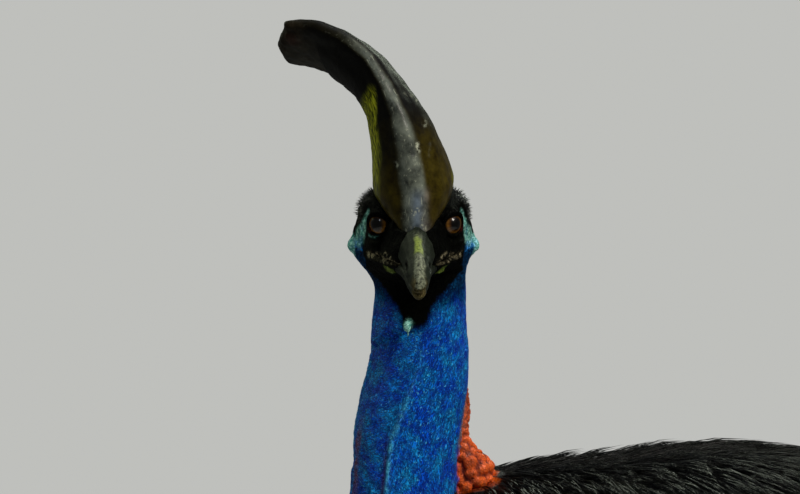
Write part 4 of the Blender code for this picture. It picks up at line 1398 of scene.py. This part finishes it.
def growStrands(path, out, depth):  # the strands' points, from each lock's own path
    locks, perLock = len(path), coat["strands"]
    total = locks * perLock
    owner = np.repeat(np.arange(locks), perLock)
    path, out, depth = path[owner], out[owner], depth[owner]
    start = random.uniform(*coat["starts"], total)
    end = random.uniform(*coat["ends"], total)
    part = start[:, None] + (end - start)[:, None] * np.linspace(0, 1, rings + 1)
    at = part * rings
    low = np.minimum(at.astype(int), rings - 1)
    share = (at - low)[:, :, None]
    rows = np.arange(total)[:, None]
    places = path[rows, low] * (1 - share) + path[rows, low + 1] * share
    facing = out[rows, low] * (1 - share) + out[rows, low + 1] * share
    side = np.cross(unit(path[rows, low + 1] - path[rows, low]), facing)
    wide = random.uniform(-1, 1, total)[:, None] * coat["lockWidth"] * (1 - 0.65 * part)
    wide += random.normal(0, coat["stray"], total)[:, None] * part**2
    wave = random.uniform(-1, 1, (total, 1)) * coat["wave"]
    wave = wave * np.sin(part * 5 + random.uniform(0, 6, (total, 1)))
    tips = random.uniform(*coat["tipDepth"], total)
    lockTips = np.repeat(random.uniform(*coat["lockTips"], locks), perLock)
    inward = depth * coat["rootDepth"]
    sunk = np.maximum(tips + lockTips, -0.001)[:, None]
    sunk = sunk + (inward[:, None] - sunk) * np.clip(1 - part * 1.35, 0, 1) ** 1.6
    places = places + side * (wide + wave)[:, :, None] - facing * sunk[:, :, None]
    return places, facing, side, owner


def strandMesh(name, places, facing, side, where, tone, thick):  # where is each strand's place on the map
    total = len(places)
    radius = thick * np.array((0.8, 1.0, 0.75))
    points = []
    for ring in range(rings):
        for corner in range(3):
            turn = math.tau * corner / 3 + 0.5
            points.append(places[:, ring] + radius[ring] * (
                math.cos(turn) * side[:, ring] + 0.8 * math.sin(turn) * facing[:, ring]))
    points.append(places[:, rings])
    points = np.stack(points, 1)
    perStrand = points.shape[1]
    tip = perStrand - 1
    faces = [(2, 1, 0)]
    for ring in range(rings):
        for corner in range(3):
            a, b = ring * 3 + corner, ring * 3 + (corner + 1) % 3
            faces += [(a, b, tip)] if ring == rings - 1 else [(a, b, b + 3), (a, b + 3, a + 3)]
    faces = np.array(faces)
    corners = (faces.reshape(-1)[None] + np.arange(total)[:, None] * perStrand).ravel()
    mesh = bpy.data.meshes.new(name)
    mesh.vertices.add(total * perStrand)
    mesh.vertices.foreach_set("co", points.astype(np.float32).ravel())
    mesh.loops.add(len(corners))
    mesh.loops.foreach_set("vertex_index", corners.astype(np.int32))
    mesh.polygons.add(len(corners) // 3)
    mesh.polygons.foreach_set("loop_start", np.arange(0, len(corners), 3, dtype=np.int32))
    mesh.update(calc_edges=True)
    smoothed(mesh)
    across = np.array([(i % 3) / 2 for i in range(tip)] + [0.5])
    along = np.array([i // 3 / rings for i in range(tip)] + [1.0])
    spot = np.stack([across, along], 1)[faces.reshape(-1)] * coat["patch"]
    unwrapped = where[:, None] + spot[None]
    mesh.uv_layers.new(name="OFBake").data.foreach_set("uv", unwrapped.astype(np.float32).ravel())
    storeValues(mesh, "tone", "FLOAT", np.repeat(tone, perStrand))
    return linked(name, mesh)


def unwrapRoots(roots):  # spread over the map, from 0.03 to 0.97 each way
    low, high = roots.min(0), roots.max(0)
    return 0.03 + 0.937 * ((roots - low) / np.maximum(high - low, 1e-6))


def dressPlumage(piece):
    piece.data.materials.append(featherHorn)
    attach(piece, "root")


def makeCoat(envelope, tree):
    count = coat["locks"] // 1
    roots = coatRoots(envelope, count)
    path, out, depth, thigh = layLocks(roots, tree)
    tone = np.clip(0.5 + 0.5 * grain(roots, 0.03, 60) + random.normal(0, 0.25, len(roots)), 0, 1)
    left = roots[:, 0] > 0
    bands = np.quantile(roots[~thigh, 1], (0.25, 0.5, 0.75))
    band = np.searchsorted(bands, roots[:, 1])
    made = 0
    for side in bothSides:
        onSide = left == (side == "left")
        for number in range(5):
            own = np.flatnonzero(onSide & (thigh if number == 4 else ~thigh & (band == number)))
            if number == 4:
                middle = roots[own].mean(0)
                around = np.arctan2(roots[own, 0] - middle[0], roots[own, 1] - middle[1])
                flat = np.stack([around, roots[own, 2]], 1)
            else:
                around = np.arctan2(np.abs(roots[own, 0]), roots[own, 2] - 0.80)
                flat = np.stack([roots[own, 1], around], 1)
            where = unwrapRoots(flat)
            places, facing, side3, owner = growStrands(path[own], out[own], depth[own])
            name = "plumage_" + side + ("_thigh" if number == 4 else "_" + str(number + 1))
            piece = strandMesh(name, places, facing, side3, where[owner], tone[own][owner], coat["radius"])
            dressPlumage(piece)
            made += len(piece.data.polygons)
            print("  ", name, len(own), "locks", len(piece.data.polygons), "triangles")
    print("  plumage has", made, "triangles in all")


# Cassowary plumage: shafts without barbs, black and glossy as coarse hair, browner where worn

def coatMaterial():
    made, tree, shader, where = newMaterial(
        "hair-like feather shafts, glossy", {"Roughness": 0.32, "Specular IOR Level": 0.17})
    tone = addNode(tree, "Attribute", attribute_name="tone").outputs["Fac"]
    brown = addRange(tree, addNoise(tree, where, 30, 3), 0.55, 0.8, 0, 0.5)
    connect(tree, shader, addMix(tree, brown, addMix(tree, tone, "#020202", "#0B0B09"), "#15100A"))
    return made


print("plumage")
featherHorn = coatMaterial()
makeCoat(envelope, envelopeTree)


# The plumes that start on the neck's root, bristles on the hind head and brows, and lashes

collar = {
    "count": 3400,
    "angle": (0, 45, 110, 180),  # from the throat, and the height the plumes start at
    "height": (0.930, 0.958, 0.992, 1.020),
    "spread": 0.011,
    "length": (0.024, 0.052),
    "lean": (0.20, 0.95, 0.11),  # shares of outward, downward and stray
}
bristles = {
    "count": 1100,
    "length": (0.003, 0.0075),
    "radius": 0.00024,
    "lean": (0.75, 0.85, 0.18),  # shares of outward, rearward and stray
    "lashes": 24,  # on each upper lid
    "lashLength": 0.0055,
    "lashRadius": 0.00030,
    "lashSpan": (20, 168),  # degrees round the lid
}


def bentStrands(name, roots, lie, out, bend, length, where, tone, thick):
    part = np.linspace(0, 1, rings + 1)[None, :, None]
    places = roots[:, None] + (lie[:, None] * part + bend[:, None] * part**2) * length[:, None, None]
    side = unit(np.cross(lie, out))
    repeated = [np.repeat(each[:, None], rings + 1, axis=1) for each in (out, side)]
    dressPlumage(strandMesh(name, places, *repeated, where, tone, thick))


def makeCollar(made, marks):
    points, normals = pointsAndNormals(made.data)
    start = np.interp(np.abs(marks["angle"]), collar["angle"], collar["height"])
    bare = (marks["onWattle"] < 0.1) & (marks["lumps"] < 0.3) & (marks["onHead"] < 0.1)
    near = distancesTo(["neck_lower"], points, 0.02) < 0.009
    chance = hill(marks["z"] - start, collar["spread"]) * bare * near
    count = collar["count"]
    picked = random.choice(len(points), count, replace=False, p=chance / chance.sum())
    outward, downward, stray = collar["lean"]
    lie = unit(normals[picked] * outward + random.normal(0, stray, (count, 3)) - (0, 0, downward))
    bend = normals[picked] * 0.10
    length = random.uniform(*collar["length"], count)
    flat = np.stack([marks["angle"][picked], marks["z"][picked]], 1)
    bentStrands("plumage_collar", points[picked] - normals[picked] * 0.0008, lie, normals[picked], bend,
                length, unwrapRoots(flat), random.uniform(0, 0.7, count),
                coat["radius"])


def makeBristles(made, marks):
    points, normals = pointsAndNormals(made.data)
    ahead, _, up = marks["mirrored"].T
    hind = fade(up, -8, 5) * fall(ahead, -22, -12) * fade(ahead, -78, -62)
    fringe, _ = fromLine(marks["mirrored"], faceLines["fringe"])
    chance = (hind + 0.8 * hill(fringe, 4)) * fade(marks["toCasque"], 1, 12) * marks["onHead"]
    count = bristles["count"]
    picked = random.choice(len(points), count, replace=False, p=chance / chance.sum())
    outward, rearward, stray = bristles["lean"]
    rear = -headAxes[:, 0]
    lie = unit(normals[picked] * outward + rear * rearward + random.normal(0, stray, (count, 3)))
    bend = np.tile(rear * 0.35 - (0, 0, 0.25), (count, 1))
    places = marks["places"][picked]
    flat = np.stack([np.arctan2(places[:, 1], places[:, 2] + 30), places[:, 0]], 1)
    length = random.uniform(*bristles["length"], count)
    bentStrands("bristles", points[picked] - normals[picked] * 0.0005, lie, normals[picked], bend, length,
                unwrapRoots(flat), random.uniform(0, 0.6, count), bristles["radius"])


def makeLashes():
    for side in bothSides:
        look, back, up = eyeAxes(side)
        turn = np.radians(np.linspace(*bristles["lashSpan"], bristles["lashes"]))
        cos, sin = np.cos(turn), np.sin(turn)
        wide = np.where(cos > 0, eyes["open"]["back"], eyes["open"]["front"])
        edge = np.radians(1 / np.hypot(cos / wide, sin / eyes["open"]["top"]) + 3.0)
        rim = cos[:, None] * back + sin[:, None] * up
        ray = np.cos(edge)[:, None] * look + np.sin(edge)[:, None] * rim
        roots = fromHead(eyeCentre(side) + ray * lids["rim"])
        lie = ray * 0.55 + rim * 0.5 + look * 0.35 + random.normal(0, 0.06, ray.shape)
        lie = unit(lie) @ headAxes.T
        bend = np.tile(headAxes @ up * 0.35, (len(turn), 1))
        length = bristles["lashLength"] * (0.6 + 0.4 * sin) * random.uniform(0.85, 1.1, len(turn))
        flat = np.stack([turn, random.uniform(0, 1, len(turn))], 1)
        bentStrands("lashes_" + side, roots, lie, ray @ headAxes.T, bend, length,
                    unwrapRoots(flat), np.zeros(len(turn)), bristles["lashRadius"])


print("collar, bristles and lashes")
makeCollar(skin, marks)
makeBristles(skin, marks)
makeLashes()


# Wing quills: five bare black shafts on each side, arched over the plumage

quills = {
    "each": 5,
    "length": (0.31, 0.20),  # the longest and the shortest
    "radius": (0.0022, 0.0006),
    "rise": 0.006,  # how far the arch stands off the plumage
    "sunk": 0.004,  # how deep its ends lie in it
    "droop": 0.055,  # how much it turns down at each step
    "steps": 16,
    "sides": 8,
}


def addTube(shape, path, radii, sides):
    rows = []
    for i, (place, radius) in enumerate(zip(path, radii)):
        ahead = (path[min(i + 1, len(path) - 1)] - path[max(i - 1, 0)]).normalized()
        one = ahead.cross(Vector((0, 0, 1)) if abs(ahead.z) < 0.9 else Vector((1, 0, 0))).normalized()
        two = ahead.cross(one)
        rows.append([
            shape.verts.new(place + (one * math.cos(turn) + two * math.sin(turn)) * radius)
            for turn in (math.tau * k / sides for k in range(sides))
        ])
    for low, high in zip(rows, rows[1:]):
        for k in range(sides):
            shape.faces.new((low[k], low[(k + 1) % sides], high[(k + 1) % sides], high[k]))
    shape.faces.new(rows[0][::-1])
    shape.faces.new(rows[-1])


def makeQuills(tree):
    for side in bothSides:
        low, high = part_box("wing_" + side)
        middle = (low + high) / 2
        shape = bmesh.new()
        for number in range(quills["each"]):
            share = number / (quills["each"] - 1)
            length = quills["length"][0] + (quills["length"][1] - quills["length"][0]) * share
            place = middle + Vector((0, 0.035 + 0.016 * share, 0.020 - 0.045 * share))
            way = Vector((0, 0.88 - 0.16 * share, -0.30 - 0.34 * share)).normalized()
            path = []
            for step in range(quills["steps"] + 1):
                part = step / quills["steps"]
                nearest, normal, _, _ = tree.find_nearest(place)
                rise = quills["rise"] * math.sin(math.pi * min(part * 1.15, 1)) - quills["sunk"]
                path.append(nearest + normal * rise)
                place = nearest + way * length / quills["steps"]
                way = (way + Vector((0, 0.0, -quills["droop"]))).normalized()
            radii = np.interp(np.linspace(0, 1, len(path)), (0, 1), quills["radius"])
            addTube(shape, path, radii, quills["sides"])
        made = newObject("wing_quills_" + side, shape)
        smoothed(made.data)
        made.data.materials.append(featherHorn)
        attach(made, "root")


print("wing quills")
makeQuills(envelopeTree)


# Scutes: broad horny plates that overlap down the front of each shank

scutes = {
    "shank": (0.115, 0.415),  # metres above the floor
    "shankSize": (0.0150, 0.038),  # height and width of each
    "proud": 0.0018,
    "sunk": 0.0009,
    "reach": 0.06,  # metres in front of the shank's middle line that rays start
    "rows": (0.0, 0.3, 0.62, 0.9, 1.0),
    "columns": 7,
}


def addScute(shape, tree, top, down, across, inward):
    rows = []
    for u in scutes["rows"]:
        row = []
        for k in range(scutes["columns"]):
            v = 2 * k / (scutes["columns"] - 1) - 1
            spot = top + down * u * (1.12 - 0.12 * v * v) + across * v * (0.5 - 0.06 * u * u)
            hit, normal, _, _ = tree.ray_cast(spot - inward * scutes["reach"], inward, scutes["reach"] * 2)
            if hit is None:
                return
            edge = abs(v) > 0.99 or u in (0.0, 1.0)
            height = -scutes["sunk"] if edge else scutes["proud"] * (0.35 + 0.65 * u) * (1 - 0.5 * v**4)
            row.append(shape.verts.new(hit + normal * height))
        rows.append(row)
    for high, low in zip(rows, rows[1:]):
        for k in range(len(high) - 1):
            shape.faces.new((high[k], low[k], low[k + 1], high[k + 1]))


def makeScutes():
    tree = treeOf(skin.data)
    material = scuteMaterial()
    for side in bothSides:
        shape = bmesh.new()
        shank = np.array([vert.co for vert in nodes["shank_" + side].data.vertices])
        height, width = scutes["shankSize"]
        z = scutes["shank"][1]
        while z > scutes["shank"][0]:
            near = shank[np.argsort(np.abs(shank[:, 2] - z))[:24]]
            middle = Vector((near[:, 0].mean(), near[:, 1].mean(), z))
            addScute(shape, tree, middle, Vector((0, 0, -height)), Vector((width, 0, 0)), Vector((0, 1, 0)))
            z -= height * 0.98
        made = newObject("leg_scutes_" + side, shape)
        smoothed(made.data)
        made.data.materials.append(material)
        print("  ", made.name, len(made.data.polygons), "faces")
        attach(made, "root")


# Scute horn: dry keratin plates, greyer than the skin, with cloudy colour

def scuteMaterial():
    made, tree, shader, where = newMaterial("scute horn, dry", {"Roughness": 0.42})
    cloud = addNoise(tree, where, 120, 5, 0.6)
    colour = addMix(tree, addRange(tree, cloud, 0.3, 0.7), "#453E30", "#7C735C")
    connect(tree, shader, colour, cloud, 0.5, 0.0004)
    return made


print("scutes")
makeScutes()


# Floor, lights, camera and backdrop

studio = {
    "cameraTurn": 66,  # degrees round from the bird's front to its left
    "cameraRise": 3,
    "distance": 3.5,
    "aim": (-0.012, -0.0192),  # metres right and up from the eyes to the middle of the picture
    "lens": 196.875,
    "sensor": 36,
    "backdrop": "#D9DAD6",
    "floor": ("#CFCFCA", "#DADAD6"),
    "floorRadius": 2.0,
    "seen": 0.75,  # strength of the backdrop in the picture
    "fill": 0.12,  # and of its light on the model
}
lights = {  # metres to the right, up and nearer from the eyes, size, watts, colour, aim above the eyes
    "key": ((1.2, 1.5, 1.3), 0.8, 42, "#FFF7EC", -0.1),
    "rim": ((0.8, 1.1, -1.9), 0.7, 10, "#F2FFE6", 0.1),
    "glow": ((-1.3, 1.0, -1.0), 0.9, 8, "#F4FFD8", 0.0),
    "sky": ((-0.4, 1.55, 1.9), 0.35, 6.5, "#EAF4FF", 0.0),
}
topLight = {"place": (0.2, 0.3, 3.6), "size": 3.2, "watts": 36, "colour": "#E6F0FF", "aim": (0, 0.1, 0.8)}


def addLight(name, place, size, watts, colour, aim):
    lamp = bpy.data.lights.new(name, "AREA")
    lamp.shape = "DISK"
    lamp.size = size
    lamp.energy = watts
    lamp.color = fromHex(colour)[:3]
    made = linked(name, lamp)
    made.location = place
    made.rotation_euler = (aim - place).to_track_quat("-Z", "Y").to_euler()


def makeFloor():
    shape = bmesh.new()
    bmesh.ops.create_circle(shape, cap_ends=True, segments=128, radius=studio["floorRadius"])
    floor = newObject("floor", shape)
    material, tree, shader, where = newMaterial("studio floor, matt paint", {"Roughness": 0.8})
    connect(tree, shader, addMix(tree, addNoise(tree, where, 3, 5), *studio["floor"]))
    floor.data.materials.append(material)


def makeWorld():
    world = bpy.data.worlds.new("studio")
    world.use_nodes = True
    tree = world.node_tree
    seen = tree.nodes["Background"]
    seen.inputs["Color"].default_value = fromHex(studio["backdrop"])
    seen.inputs["Strength"].default_value = studio["seen"]
    fill = addNode(tree, "Background", {"Color": studio["backdrop"], "Strength": studio["fill"]})
    rays = addNode(tree, "LightPath").outputs
    blend = addNode(tree, "MixShader", {0: rays["Is Camera Ray"], 1: fill.outputs[0], 2: seen.outputs[0]})
    tree.links.new(blend.outputs[0], tree.nodes["World Output"].inputs["Surface"])
    bpy.context.scene.world = world


def makeStudio():
    turn, tilt = math.radians(studio["cameraTurn"]), math.radians(studio["cameraRise"])
    back = Vector((math.sin(turn) * math.cos(tilt), -math.cos(turn) * math.cos(tilt), math.sin(tilt)))
    crown = Vector((0, 0, 1))
    right = crown.cross(back).normalized()
    up = back.cross(right)
    head = (boxMiddle("eye_left") + boxMiddle("eye_right")) / 2
    aim = head + right * studio["aim"][0] + up * studio["aim"][1]
    camera = linked("camera", bpy.data.cameras.new("camera"))
    camera.data.lens = studio["lens"]
    camera.data.sensor_width = studio["sensor"]
    turned = Matrix((right, up, back)).transposed().to_4x4()
    camera.matrix_world = Matrix.Translation(aim + back * studio["distance"]) @ turned
    bpy.context.scene.camera = camera
    makeFloor()
    side = Vector((right.x, right.y, 0)).normalized()
    near = Vector((back.x, back.y, 0)).normalized()
    for name, (offset, size, watts, colour, above) in lights.items():
        place = head + side * offset[0] + crown * offset[1] + near * offset[2]
        addLight(name, place, size, watts, colour, head + crown * above)
    addLight("top", Vector(topLight["place"]), topLight["size"], topLight["watts"], topLight["colour"],
             Vector(topLight["aim"]))
    makeWorld()
    bpy.context.scene.view_settings.view_transform = "Standard"


print("floor, lights and camera")
makeStudio()
bpy.data.objects.remove(envelope)
